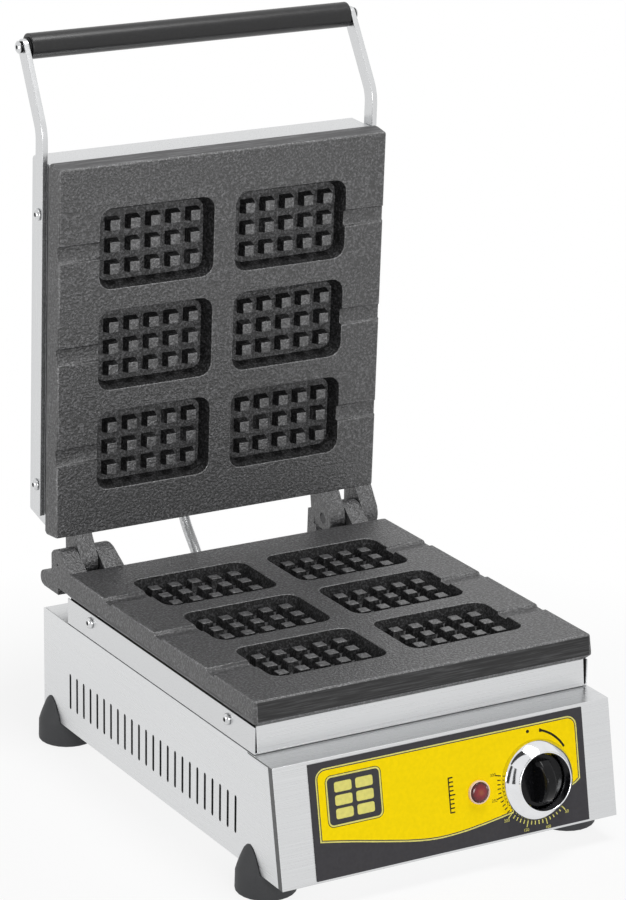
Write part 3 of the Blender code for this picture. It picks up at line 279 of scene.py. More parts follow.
# Darkened faces of a sheet, after its brushed finish, and their tones as shares of the steel's: painted
# shade on the cooling slots' walls and on the front returns, and painted light on the side panels and bottom
# cover
slot_shade, folded_return = 1, 2
slot_shade_share = 0.12
return_share = 0.24
side_painted_light = 1.1

# Least distance of a cooling slot from the sheet's edge
slot_clear = 12.0 * mm

# Socket screws: each pair is a width and a height as shares of the head's, and the black of the socket,
# painted shade, comes second
socket_shade_slot = 1
head_height = 2.7 * mm
plain_head = 4.0 * mm
socket_depth_share = 0.65
shank_share = 0.62
head_rim_share = 0.22
head_rim_play = 0.1 * mm
head_brow_play = 0.3 * mm
head_brow = (0.96, 0.45)
head_dome = ((0.84, 0.76), (0.66, 0.95), (0.56, 1.0))
socket_lip = ((1.06, 0.98), (1.0, 0.9))

# Small head of the grip's bolt and nut on its dark collar
grip_head_share = 0.78
grip_collar = 1.2 * mm
grip_collar_share = 0.9

# Grip tube and feet
grip_bore = 4.5 * mm
grip_lip = 0.5 * mm
foot_edge = 0.5 * mm

# Lid lead between its two glands; its tone as a share of the steel's, its ribs as a share of its radius
sleeve_share = 0.8
lead_radius = 4.2 * mm
lead_sink = 6.0 * mm
lead_pull = 75.0 * mm
lead_steps = 120
lead_sides = 20
gland_height = 6.0 * mm
gland_gap = 0.3 * mm
cover_fall = 5.8 * mm
cover_run = 29.5 * mm
rib_steps = 6
rib_depth_share = 0.05

# Reflection of the printed film, which real ink takes most of, and of the mouldings
film_gloss = 0.06
plastic_gloss = 0.32

# Rise of the coating's roughness from its flecks to its pits, and drift of a colour over a surface
coat_play = 0.14
coat_drift = 0.07
film_drift = 0.03

# Facets inside the lens, as shares of its radius
facet_share = 0.25
facet_shift_share = 0.1

# Grain sizes and depths of the finishes; grit, grinding and brushing are drawn coarse enough to show
grit_size = 1.9 * mm
grit_depth = 1.1 * mm
patch_size = 45.0 * mm
grind_pitch = 0.9 * mm
grind_run = 28.0 * mm
grind_depth = 0.05 * mm
brush_pitch = 0.55 * mm
brush_run = 70.0 * mm
brush_depth = 0.01 * mm
peel_size = 2.2 * mm
peel_depth = 0.01 * mm
mottle_size = 4.4 * mm
haze_size = 8.8 * mm
wave_size = 14.0 * mm
wave_depth = 0.45 * mm
pore_size = 1.1 * mm
pore_depth = 0.06 * mm
ink_size = 3.0 * mm
facet_size = 2.6 * mm
facet_depth = 0.3 * mm
fibre_size = 1.5 * mm
fibre_run = 9.0 * mm
fibre_depth = 0.3 * mm


def linear(code):
    """Turn an sRGB hex code into the linear colour that a shader takes."""
    channels = [int(code[i:i + 2], 16) / 255 for i in (0, 2, 4)]
    curve = [c / 12.92 if c <= 0.04045 else ((c + 0.055) / 1.055) ** 2.4 for c in channels]
    return (*curve, 1.0)


def colour_property(name, description, code):
    """A colour setting whose default is an sRGB hex code."""
    return bpy.props.FloatVectorProperty(
        name=name, description=description, subtype="COLOR", size=4, min=0.0, max=1.0, default=linear(code))


def length_property(name, description, size):
    """A length setting in metres."""
    return bpy.props.FloatProperty(
        name=name, description=description, unit="LENGTH", min=0.0, precision=5, default=size)


class WaffleSizes(bpy.types.PropertyGroup):
    """Edge radii and small details that the finish adds to the solids."""
    casting_edge: length_property("Casting Edge", "Radius of the cast plates' edges", 0.55 * mm)
    sheet_fold: length_property("Sheet Fold", "Outer radius of the folds in the sheet metal", 0.7 * mm)
    bar_edge: length_property("Bar Edge", "Radius of the handle arms' long edges", 0.5 * mm)
    socket_width: length_property("Socket Width", "Width across the flats of the hex sockets", 3.0 * mm)
    sleeve_rib: length_property("Sleeve Rib", "Distance between two ribs of the lid lead", 1.6 * mm)
    stripe_width: length_property("Stripe Width", "Width of the pale line round the field", 1.0 * mm)


class WaffleColours(bpy.types.PropertyGroup):
    """Colours of the finishes."""
    coating: colour_property("Coating", "Baked coating of the cast plates", "1E1E1F")
    coating_fleck: colour_property("Coating Fleck", "Pale flecks in the coating", "5C5C5E")
    coating_pit: colour_property("Coating Pit", "Darkest pits in the coating", "101011")
    ground_edge: colour_property("Ground Edge", "Ground sides of the castings", "505051")
    steel: colour_property("Steel", "Brushed stainless steel", "D2D3D4")
    chrome: colour_property("Chrome", "Bright chrome plate", "E6E7E9")
    black: colour_property("Black", "Glossy black moulding", "0E0E10")
    grip: colour_property("Grip", "Satin black grip tube", "131314")
    rubber: colour_property("Rubber", "Moulded rubber feet", "333436")
    label_ground: colour_property("Label Ground", "Charcoal ground of the label", "414043")
    label_field: colour_property("Label Field", "Yellow field of the label", "F7D904")
    label_warm: colour_property("Label Warm", "Warmer yellow towards the dial", "F5D404")
    label_stripe: colour_property("Label Stripe", "Pale lines and figures of the label", "DDD678")
    label_ink: colour_property("Label Ink", "Dark marks on the yellow", "26241C")
    lens: colour_property("Lens", "Red lamp lens", "7E1A22")
    # The lens middle is lighter as painted light; the lens ramp darkens towards the rim as painted shade
    lens_painted_light: colour_property("Lens Middle", "Warm middle of the lens", "93452B")
    lamp_ring: colour_property("Lamp Ring", "Moulded ring round the lens", "EBCDB8")
    board: colour_property("Insulation", "Mineral wool board", "D9D2C0")
    ceramic: colour_property("Ceramic", "Glazed terminal block", "E9E4D8")
    copper: colour_property("Copper", "Drawn copper bulb", "B87B4B")
    heater: colour_property("Heater", "Heat-browned tubular heater", "5B4A3C")


def add(tree, kind, settings=None, values=None, links=None):
    """Add one node with its settings, its socket values and its incoming links."""
    node = tree.nodes.new("ShaderNode" + kind)
    for name, value in (settings or {}).items():
        setattr(node, name, value)
    for socket, value in (values or {}).items():
        node.inputs[socket].default_value = value
    for socket, source in (links or {}).items():
        tree.links.new(source, node.inputs[socket])
    return node


def start(name, values):
    """A new material with constants on its shader's sockets: returns it, its tree and its shader."""
    material = bpy.data.materials.new(name)
    material.use_nodes = True
    shader = material.node_tree.nodes["Principled BSDF"]
    for socket, value in values.items():
        shader.inputs[socket].default_value = value
    return material, material.node_tree, shader


def grain(tree, size, detail=2.0, grit=0.5, axis=X, run=None):
    """Noise on the piece's own coordinates: its pattern's size, and another one along an axis if asked."""
    sizes = [size] * 3
    if run:
        sizes[axis] = run
    place = add(tree, "TexCoord")
    stretch = add(tree, "Mapping", values={"Scale": [1 / s for s in sizes]},
                  links={"Vector": place.outputs["Object"]})
    return add(tree, "TexNoise", values={"Scale": 1.0, "Detail": detail, "Roughness": grit},
               links={"Vector": stretch.outputs["Vector"]}).outputs["Fac"]


def ramp(tree, source, stops):
    """Colour ramp from a list of (position, colour)."""
    node = add(tree, "ValToRGB", links={"Fac": source})
    bar = node.color_ramp
    while len(bar.elements) < len(stops):
        bar.elements.new(0.5)
    for element, (position, colour) in zip(bar.elements, stops):
        element.position = position
        element.color = colour
    return node.outputs["Color"]


def spread(tree, source, low, high):
    """Map the middle of a noise onto a range of numbers."""
    span = {"From Min": 0.3, "From Max": 0.7, "To Min": low, "To Max": high}
    return add(tree, "MapRange", values=span, links={"Value": source}).outputs["Result"]


def clouded(tree, colour, source, drift):
    """A colour whose level drifts up and down with a noise."""
    level = spread(tree, source, 1 - drift, 1 + drift)
    return add(tree, "VectorMath", {"operation": "SCALE"},
               links={0: colour, "Scale": level}).outputs["Vector"]


def relief(tree, shader, height, depth, strength=1.0):
    """Give a shader the bump of a height, depth in metres."""
    bump = add(tree, "Bump", values={"Distance": depth, "Strength": strength}, links={"Height": height})
    tree.links.new(bump.outputs["Normal"], shader.inputs["Normal"])


def shade(colour, share):
    """A colour made darker or lighter by a share."""
    return (*[min(1.0, c * share) for c in colour[:3]], 1.0)


def toned(tree, height, colour, tones):
    """Colour a noise by a list of (position, share of the colour)."""
    return ramp(tree, height, [(position, shade(colour, share)) for position, share in tones])


def grained(name, colour, tones, size, roughness, play=0.0, bumps=None, values=None, **pattern):
    """A finish in which one noise drives the tones of its colour, its roughness and its bumps."""
    material, tree, shader = start(name, {"Roughness": roughness, **(values or {})})
    height = grain(tree, size, **pattern)
    tree.links.new(toned(tree, height, colour, tones), shader.inputs["Base Color"])
    if play:
        tree.links.new(spread(tree, height, roughness, roughness + play), shader.inputs["Roughness"])
    if bumps:
        relief(tree, shader, height, *bumps)
    return material


def coated_cast_iron(colours, name="coated_cast_iron", lift=1.0, ior=1.8, roughness=0.34):
    """Sand-cast iron under a baked speckled coating: pale flecks and dark pits on black, a soft sheen."""
    material, tree, shader = start(name, {"IOR": ior})
    fleck = grain(tree, grit_size, grit=0.7)
    patch = grain(tree, patch_size)
    speckle = ramp(tree, fleck, (
        (0.34, shade(colours.coating_pit, lift)), (0.48, shade(colours.coating, lift)),
        (0.66, shade(colours.coating_fleck, lift))))
    tree.links.new(clouded(tree, speckle, patch, coat_drift), shader.inputs["Base Color"])
    tree.links.new(spread(tree, fleck, roughness + coat_play, roughness), shader.inputs["Roughness"])
    relief(tree, shader, fleck, grit_depth)
    return material


def ground_cast_iron(name, dark, across):
    """Cast iron whose sides were ground: dark, with fine lighter scratches along the edge."""
    return grained(name, dark, ((0.36, 0.55), (0.50, 1.0), (0.66, 2.6)), grind_run, roughness=0.42,
                   play=0.18, bumps=(grind_depth, 0.5), values={"Metallic": 0.35},
                   detail=4.0, grit=0.65, axis=across, run=grind_pitch)


def brushed_stainless(colours, name, along, roughness=0.24, lift=1.0):
    """Stainless sheet brushed with a fine belt: long soft lines, bright but not mirror-like."""
    return grained(name, shade(colours.steel, lift), ((0.30, 0.96), (0.50, 1.0), (0.70, 1.03)), brush_pitch,
                   roughness, play=0.12, bumps=(brush_depth, 0.25), values={"Metallic": 1.0},
                   detail=4.0, grit=0.6, axis=along, run=brush_run)


def polished_stainless(colours, name="polished_stainless"):
    """Turned and polished stainless screws: sharp glints with faint smears."""
    return grained(name, colours.steel, ((0.35, 0.9), (0.65, 1.05)), peel_size, roughness=0.12, play=0.10,
                   values={"Metallic": 1.0})


def chrome_plate(colours):
    """Bright chrome on a spun ring: near-mirror, with a faint haze and waves that bend its streaks."""
    material = grained("chrome_plate", colours.chrome, ((0.35, 0.95), (0.65, 1.0)), haze_size,
                       roughness=0.04, play=0.05, values={"Metallic": 1.0})
    tree = material.node_tree
    wave = grain(tree, wave_size, detail=0.0, grit=0.0)
    relief(tree, tree.nodes["Principled BSDF"], wave, wave_depth)
    return material


def black_plastic(name, colour, roughness=0.16, sheen=plastic_gloss):
    """Moulded phenolic plastic: black under a gloss or satin skin with faint orange peel."""
    return grained(name, colour, ((0.35, 0.8), (0.65, 1.3)), peel_size, roughness, play=0.10,
                   bumps=(peel_depth, 0.3), values={"IOR": 1.55, "Specular IOR Level": sheen})


def moulded_rubber(colours):
    """Moulded black rubber: dull, with a fine matt grain."""
    return grained("moulded_rubber", colours.rubber, ((0.35, 0.75), (0.65, 1.2)), pore_size, roughness=0.55,
                   play=0.17, bumps=(pore_depth, 0.4), detail=3.0, grit=0.6)


def printed_film(name, colour, far_colour=None):
    """Screen-printed polyester film: even ink with a slight mottle and a satin face; it may fade across."""
    material, tree, shader = start(name, {"IOR": 1.5, "Specular IOR Level": film_gloss})
    mottle = grain(tree, ink_size)
    if far_colour is None:
        tone = toned(tree, mottle, colour, ((0.35, 0.95), (0.65, 1.05)))
    else:
        place = add(tree, "TexCoord")
        across = add(tree, "SeparateXYZ", links={"Vector": place.outputs["Object"]})
        fade = add(tree, "MapRange", values={"From Min": -fade_reach, "From Max": fade_reach},
                   links={"Value": across.outputs["X"]})
        blend = ramp(tree, fade.outputs["Result"], ((0.15, colour), (0.85, far_colour)))
        tone = clouded(tree, blend, mottle, film_drift)
    tree.links.new(tone, shader.inputs["Base Color"])
    tree.links.new(spread(tree, mottle, 0.42, 0.5), shader.inputs["Roughness"])
    return material


def acrylic_lens(colours, middle, radius):
    """Moulded red acrylic lens, faceted inside and glossy outside: painted light in its warm middle and
    painted shade towards its dark rim.
    """
    material, tree, shader = start("acrylic_lens", {"Roughness": 0.12, "IOR": 1.49})
    place = add(tree, "TexCoord").outputs["Object"]
    away = add(tree, "VectorMath", {"operation": "DISTANCE"}, {1: middle}, {0: place})
    facet = add(tree, "TexVoronoi", {"feature": "F1"}, {"Scale": 1 / facet_size}, {"Vector": place})
    sway = {1: facet_share * radius, 2: -facet_shift_share * radius}
    wobble = add(tree, "Math", {"operation": "MULTIPLY_ADD"}, sway, {0: facet.outputs["Distance"]})
    reach = add(tree, "Math", {"operation": "ADD"},
                links={0: away.outputs["Value"], 1: wobble.outputs["Value"]})
    span = add(tree, "MapRange", values={"From Min": 0.0, "From Max": radius},
               links={"Value": reach.outputs["Value"]})
    # Painted light in the middle, painted shade towards the rim
    tone = ramp(tree, span.outputs["Result"], (
        (0.15, colours.lens_painted_light), (0.45, shade(colours.lens, 1.15)), (0.72, shade(colours.lens, 0.8)),
        (0.95, shade(colours.lens, 0.28))))
    tree.links.new(tone, shader.inputs["Base Color"])
    relief(tree, shader, facet.outputs["Distance"], facet_depth, 0.3)
    return material


def satin_moulding(name, colour, roughness=0.35):
    """Injection-moulded plastic or glazed ceramic: even colour with a faint mottle."""
    return grained(name, colour, ((0.35, 0.94), (0.65, 1.04)), mottle_size, roughness, play=0.13)


def wool_board(colours):
    """Pressed mineral wool board: matt, with crossing fibres."""
    return grained("mineral_wool_board", colours.board, ((0.3, 0.75), (0.7, 1.0)), fibre_size,
                   roughness=0.95, bumps=(fibre_depth, 0.6), detail=4.0, grit=0.7, run=fibre_run)


def drawn_tube(name, colour, roughness=0.35):
    """Drawn metal tube with long die marks and heat stains."""
    return grained(name, colour, ((0.3, 0.7), (0.7, 1.15)), brush_pitch, roughness, play=0.15,
                   values={"Metallic": 1.0}, detail=3.0, grit=0.6, axis=Y, run=brush_run)


def arc(middle, radius, first, last, steps, rise=None):
    """Points along an arc from one angle to another, both in quarter turns; its rise may differ."""
    turns = [(first + (last - first) * i / steps) * quarter for i in range(steps + 1)]
    tall = radius if rise is None else rise
    return [(middle[0] + radius * math.cos(turn), middle[1] + tall * math.sin(turn)) for turn in turns]


def circle(middle, radius, steps):
    """Points round a circle, none of them twice."""
    return arc(middle, radius, 0, 4, steps)[:-1]


def bezier(handles, share):
    """The point at a share of the way along the curve that its handles draw."""
    while len(handles) > 1:
        handles = [here.lerp(there, share) for here, there in zip(handles, handles[1:])]
    return handles[0]


def cad_shape(node):
    """The shape of a CAD node with its doubled corners welded and its flat faces joined."""
    shape = bmesh.new()
    shape.from_mesh(frame["nodes"][node].data)
    bmesh.ops.remove_doubles(shape, verts=shape.verts, dist=weld)
    bmesh.ops.dissolve_limit(shape, angle_limit=flat_angle, verts=shape.verts, edges=shape.edges)
    bmesh.ops.recalc_face_normals(shape, faces=shape.faces)
    return shape


def break_edges(shape, radius, index=-1, wanted=None):
    """Round the sharp edges of a shape; the new faces take the material of that index."""
    edges = []
    for edge in shape.edges:
        if not edge.is_manifold or edge.calc_length() < shortest_edge:
            continue
        if edge.calc_face_angle() < sharp_angle:
            continue
        if wanted is None or wanted(edge):
            edges.append(edge)
    bmesh.ops.bevel(shape, geom=edges, offset=radius, offset_type="OFFSET", segments=edge_steps, profile=0.5,
                    affect="EDGES", clamp_overlap=False, material=index)


def piece(name, shape, materials, body, replaces=()):
    """Turn a finished shape into one named piece that rides on a body."""
    bmesh.ops.recalc_face_normals(shape, faces=shape.faces)
    mesh = bpy.data.meshes.new(name)
    shape.to_mesh(mesh)
    shape.free()
    mesh.shade_smooth()
    mesh.set_sharp_from_angle(angle=sharp_angle)
    for material in materials:
        mesh.materials.append(material)
    made = bpy.data.objects.new(name, mesh)
    bpy.context.collection.objects.link(made)
    weights = made.modifiers.new("face_weights", "WEIGHTED_NORMAL")
    weights.keep_sharp = True
    if body:
        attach(made, body)
    if replaces:
        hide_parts(*replaces)
    return made


def loft(shape, rings):
    """Skin a stack of matching outlines, and close both ends."""
    made = [[shape.verts.new(p) for p in ring] for ring in rings]
    faces = []
    for low, high in zip(made, made[1:]):
        for i in range(len(low)):
            j = (i + 1) % len(low)
            faces.append(shape.faces.new((low[i], low[j], high[j], high[i])))
    faces.append(shape.faces.new(made[0]))
    faces.append(shape.faces.new(made[-1]))
    return faces


def turned(profile, steps, place):
    """Revolve a closed (radius, height) outline about Z; points on the axis become poles."""
    shape = bmesh.new()
    rings = []
    for radius, height in profile:
        points = circle((0, 0), radius, steps) if radius else [(0, 0)]
        rings.append([shape.verts.new(place @ Vector((x, y, height))) for x, y in points])
    for low, high in zip(rings, rings[1:] + rings[:1]):
        for i in range(steps):
            j = (i + 1) % steps
            if len(low) == 1 and len(high) == 1:
                break
            corners = [low[0]] if len(low) == 1 else [low[i], low[j]]
            corners += [high[0]] if len(high) == 1 else [high[j], high[i]]
            shape.faces.new(corners)
    return shape


def rounded_outline(place, size, radius, steps):
    """Outline of a rectangle with round corners about a place, counter-clockwise from the top right."""
    points = []
    for turn, (sx, sy) in enumerate(((1, 1), (-1, 1), (-1, -1), (1, -1))):
        corner = (place[0] + sx * (size[0] / 2 - radius), place[1] + sy * (size[1] / 2 - radius))
        points += arc(corner, radius, turn, turn + 1, steps)
    return points


def inset(outline, distance):
    """Move a counter-clockwise outline inwards by a distance."""
    moved = []
    count = len(outline)
    for i, point in enumerate(outline):
        here = Vector(point)
        before = (here - Vector(outline[i - 1])).normalized()
        after = (Vector(outline[(i + 1) % count]) - here).normalized()
        inward = Vector((-before.y - after.y, before.x + after.x)).normalized()
        lean = max(inset_least_share, inward.dot(Vector((-before.y, before.x))))
        moved.append(tuple(here + inward * distance / lean))
    return moved


def smooth_line(points, steps):
    """Points on a smooth curve through the given ones."""
    line = []
    padded = [Vector(point) for point in (points[0], *points, points[-1])]
    for a, b, c, d in zip(padded, padded[1:], padded[2:], padded[3:]):
        handles = (b, b + (c - a) / 6, c - (d - b) / 6, c)
        line += [tuple(bezier(handles, i / steps)) for i in range(steps)]
    line.append(points[-1])
    return line


def refine(node, name, materials, body, radius):
    """Stand a CAD node's shape in for it, with its sharp edges rounded."""
    shape = cad_shape(node)
    break_edges(shape, radius)
    return piece(name, shape, materials, body, (node,))


def clad(nodes, material):
    """Give carried-over CAD nodes one finish."""
    for node in nodes:
        mesh = frame["nodes"][node].data
        mesh.materials.clear()
        mesh.materials.append(material)


class WAFFLE_OT_stage(bpy.types.Operator):
    """Add the camera, the pale floor, the white surround and the studio lamps"""
    bl_idname = "waffle.stage"
    bl_label = "Photo Stage"

    def execute(self, context):
        scene = context.scene
        scene.view_settings.view_transform = "Standard"
        self.add_camera(scene)
        for name, place, power in lamps:
            self.add_lamp(scene, name, place, power)
        self.add_world(scene)
        self.add_floor(scene)
        self.add_flags(scene)
        return {"FINISHED"}

    def add_camera(self, scene):
        """Add the camera with the photo's view; its shift is that of the photo's frame."""
        lens = bpy.data.cameras.new("photo_camera")
        lens.sensor_fit = "VERTICAL"
        lens.sensor_height = sensor_height
        lens.lens = focal_pixels / photo_height * sensor_height
        lens.shift_x = (photo_width / 2 - principal_x) / photo_height
        lens.shift_y = (principal_y - photo_height / 2) / photo_height
        lens.clip_end = view_reach
        camera = bpy.data.objects.new("photo_camera", lens)
        aim = (Matrix.Rotation(-camera_turn, 4, "Z") @ Matrix.Rotation(quarter - camera_dip, 4, "X")
               @ Matrix.Rotation(camera_roll, 4, "Z"))
        camera.matrix_world = Matrix.Translation(camera_place) @ aim
        scene.collection.objects.link(camera)
        scene.camera = camera

    def add_lamp(self, scene, name, place, power):
        """Add one square soft lamp turned to the machine."""
        lamp = bpy.data.lights.new(name, "AREA")
        lamp.shape = "SQUARE"
        lamp.size = lamp_size
        lamp.energy = power
        made = bpy.data.objects.new(name, lamp)
        aim = (Vector(stage_target) - Vector(place)).to_track_quat("-Z", "Y")
        made.matrix_world = Matrix.Translation(place) @ aim.to_matrix().to_4x4()
        scene.collection.objects.link(made)

    def add_quads(self, scene, name, quads, material):
        """Add flat faces of the stage as one object."""
        shape = bmesh.new()
        for corners in quads:
            shape.faces.new([shape.verts.new(corner) for corner in corners])
        mesh = bpy.data.meshes.new(name)
        shape.to_mesh(mesh)
        shape.free()
        mesh.materials.append(material)
        made = bpy.data.objects.new(name, mesh)
        scene.collection.objects.link(made)
        return made

    def shown_white(self, tree):
        """Share of a ray that sees the plain white surround: camera, gloss and clear rays."""
        rays = add(tree, "LightPath")
        first = add(tree, "Math", {"operation": "MAXIMUM"},
                    links={0: rays.outputs["Is Camera Ray"], 1: rays.outputs["Is Glossy Ray"]})
        both = add(tree, "Math", {"operation": "MAXIMUM"},
                   links={0: first.outputs["Value"], 1: rays.outputs["Is Transmission Ray"]})
        return both.outputs["Value"]

    def add_world(self, scene):
        """White to the eye and in reflections, a soft even sky as light."""
        world = bpy.data.worlds.new("studio_surround")
        world.use_nodes = True
        tree = world.node_tree
        tree.nodes.clear()
        sky, backdrop = [
            add(tree, "Background", values={"Color": linear(surround_white), "Strength": level}).outputs[0]
            for level in (sky_level, backdrop_level)
        ]
        mix = add(tree, "MixShader", links={0: self.shown_white(tree), 1: sky, 2: backdrop})
        add(tree, "OutputWorld", links={"Surface": mix.outputs[0]})
        scene.world = world

    def add_floor(self, scene):
        """Pale table that reads white and still takes a soft shadow."""
        constants = {"Roughness": 0.9, "Base Color": linear(floor_white)}
        material, tree, shader = start("matt_white_laminate", constants)
        glow = add(tree, "Emission", values={"Color": linear(surround_white), "Strength": backdrop_level})
        place = add(tree, "TexCoord")
        away = add(tree, "VectorMath", {"operation": "LENGTH"}, links={0: place.outputs["Object"]})
        fade = add(tree, "MapRange", values={
            "From Min": shadow_near, "From Max": shadow_far, "To Min": floor_glow_share, "To Max": 1.0,
        }, links={"Value": away.outputs["Value"]})
        share = add(tree, "Math", {"operation": "MULTIPLY"},
                    links={0: fade.outputs["Result"], 1: self.shown_white(tree)})
        mix = add(tree, "MixShader",
                  links={0: share.outputs["Value"], 1: shader.outputs[0], 2: glow.outputs[0]})
        tree.links.new(mix.outputs[0], tree.nodes["Material Output"].inputs["Surface"])
        corners = ((-1, -1), (1, -1), (1, 1), (-1, 1))
        quad = [(x * floor_half, y * floor_half, -floor_drop) for x, y in corners]
        floor = self.add_quads(scene, "pale_table", (quad,), material)

    def add_flags(self, scene):
        """Grey studio flags outside the view, which bright metal and gloss mirror as in a dim room."""
        material = start("grey_felt", {"Roughness": 1.0, "Base Color": linear(flag_grey)})[0]
        made = self.add_quads(scene, "dark_flags", flags, material)
        made.visible_camera = False


class WAFFLE_OT_cast_plates(bpy.types.Operator):
    """Add both cast plates with broken edges, a speckled coating and ground sides"""
    bl_idname = "waffle.cast_plates"
    bl_label = "Cast Plates"

    def execute(self, context):
        sizes, colours = context.scene.waffle_sizes, context.scene.waffle_colours
        skins = (
            coated_cast_iron(colours),
            # Second coat, lighter and glossier: a painted highlight on the peg tips and rounded rims
            coated_cast_iron(colours, "painted_highlight_coating", lift=1.3, ior=2.0),
            # Third coat, much darker: painted shade on the pocket walls
            coated_cast_iron(colours, "painted_shade_wall_coating", lift=0.4, ior=1.3, roughness=0.55),
            # Fourth coat, a little lighter: painted light on the pocket floors
            coated_cast_iron(colours, "painted_light_floor_coating", lift=1.1, ior=1.65, roughness=0.42),
        )
        plates = (("lower_plate", "base", Matrix.Identity(3), 1, Z, lower_front_shade),
                  ("upper_plate", "lid", lid_turn, -1, Y, upper_front_shade))
        for node, body, turn, up, across, front_shade in plates:
            ground = colours.ground_edge
            sides = ground_cast_iron("ground_cast_iron_" + body, ground, across)
            # The ground front is a darker copy on the lower plate: painted shade
            front = ground_cast_iron("ground_front_" + body, shade(ground, front_shade), across)
            shape = cad_shape(node)
            back = turn.inverted()
            self.mark_faces(shape, back, up)
            # The rounded rims take the lighter coat: a painted highlight
            break_edges(shape, sizes.casting_edge, painted_highlight, lambda edge: self.is_rim(edge, back))
            piece(node + "_casting", shape, (*skins, sides, front), body, (node,))
        return {"FINISHED"}

    def is_rim(self, edge, back):
        """Whether an edge is an outer one that lies along the plate, which use has worn round; its rounded
        faces take the lighter coat as a painted highlight.
        """
        run = back @ (edge.verts[1].co - edge.verts[0].co).normalized()
        return edge.is_convex and abs(run.z) < wall_lean

    def mark_faces(self, shape, back, up):
        """Finish the slab's outer walls and front, the peg tips with a painted highlight, the pockets' walls
        with painted shade and their floors with painted light.
        """
        places = {face: back @ (face.calc_center_median() - pin_place) for face in shape.faces}
        corners = [back @ (vert.co - pin_place) for vert in shape.verts]
        slab_half = max(corner.x for corner in corners) - edge_play
        slab_front = min(corner.y for corner in corners) + edge_play
        level = [face for face in shape.faces if (back @ face.normal).z * up > facing_least]
        plane = places[max(level, key=lambda face: face.calc_area())].z
        tips = [face for face in level if abs((plane - places[face].z) * up - tip_recess) < tip_play]
        for face in shape.faces:
            place = places[face]
            out = back @ face.normal
            at_end = place.y < slab_front or abs(place.y - slab_rear) < edge_play
            outside = abs(place.x) > slab_half or at_end
            sunk = (plane - place.z) * up
            # The peg tips take the lighter coat: a painted highlight
            if face in tips:
                face.material_index = painted_highlight
            elif abs(out.z) < wall_lean and outside and face.calc_area() > wall_least:
                face.material_index = ground_front if place.y < slab_front else ground_side
            elif tip_play < sunk < pocket_depth + tip_play:
                near = min((places[tip].xy - place.xy).length for tip in tips)
                if near < tip_reach:
                    # Pocket floors take painted light and pocket walls painted shade
                    face.material_index = pocket_light if face in level else pocket_shade


class WAFFLE_OT_sheet_metal(bpy.types.Operator):
    """Add the folded stainless sheets of the base and the lid"""
    bl_idname = "waffle.sheet_metal"
    bl_label = "Sheet Metal"

    def execute(self, context):
        sizes, colours = context.scene.waffle_sizes, context.scene.waffle_colours
        # The Y-brushed sheets, the side panels and bottom cover, are lifted lighter: painted light
        runs = {axis: brushed_stainless(colours, "brushed_stainless_" + letter, axis, lift=lift)
                for axis, letter, lift in ((X, "x", 1.0), (Y, "y", side_painted_light), (Z, "z", 1.0))}
        sheets = (
            ("side_panel_left", "base", Y), ("side_panel_right", "base", Y), ("front_panel", "base", X),
            ("rear_panel", "base", X), ("bottom_cover", "base", Y), ("plate_tray", "base", X),
            ("lid_cover", "lid", Z),
        )
        slot_shade_steel = drawn_tube("painted_shade_slot_wall", shade(colours.steel, slot_shade_share), roughness=0.6)
        folded = drawn_tube("shaded_sheet_return", shade(colours.steel, return_share), roughness=0.45)
        for node, body, axis in sheets:
            shape = cad_shape(node)
            low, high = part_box(node)
            cut = set()
            for face in shape.faces:
                # Slot walls take a near-black steel: painted shade inside the slots
                if node.startswith("side_panel") and self.in_slot(face, low, high):
                    face.material_index = slot_shade
                    cut.update(face.edges)
                # The front returns take a darker steel: painted shade
                elif node == "front_panel" and self.is_return(face, high):
                    face.material_index = folded_return
            break_edges(shape, sizes.sheet_fold / 2, wanted=lambda edge: edge not in cut)
            piece(node + "_sheet", shape, (runs[axis], slot_shade_steel, folded), body, (node,))
        return {"FINISHED"}

    def in_slot(self, face, low, high):
        """Whether a face is the cut wall of a cooling slot, away from the sheet's own edges."""
        place = face.calc_center_median()
        inside = all(low[i] + slot_clear < place[i] < high[i] - slot_clear for i in (Y, Z))
        return inside and abs(face.normal.x) < wall_lean

    def is_return(self, face, high):
        """Whether a face is the outside of a return folded back at either end of the sheet."""
        return abs(face.normal.x) > facing_least and abs(face.calc_center_median().x) > high.x - edge_play


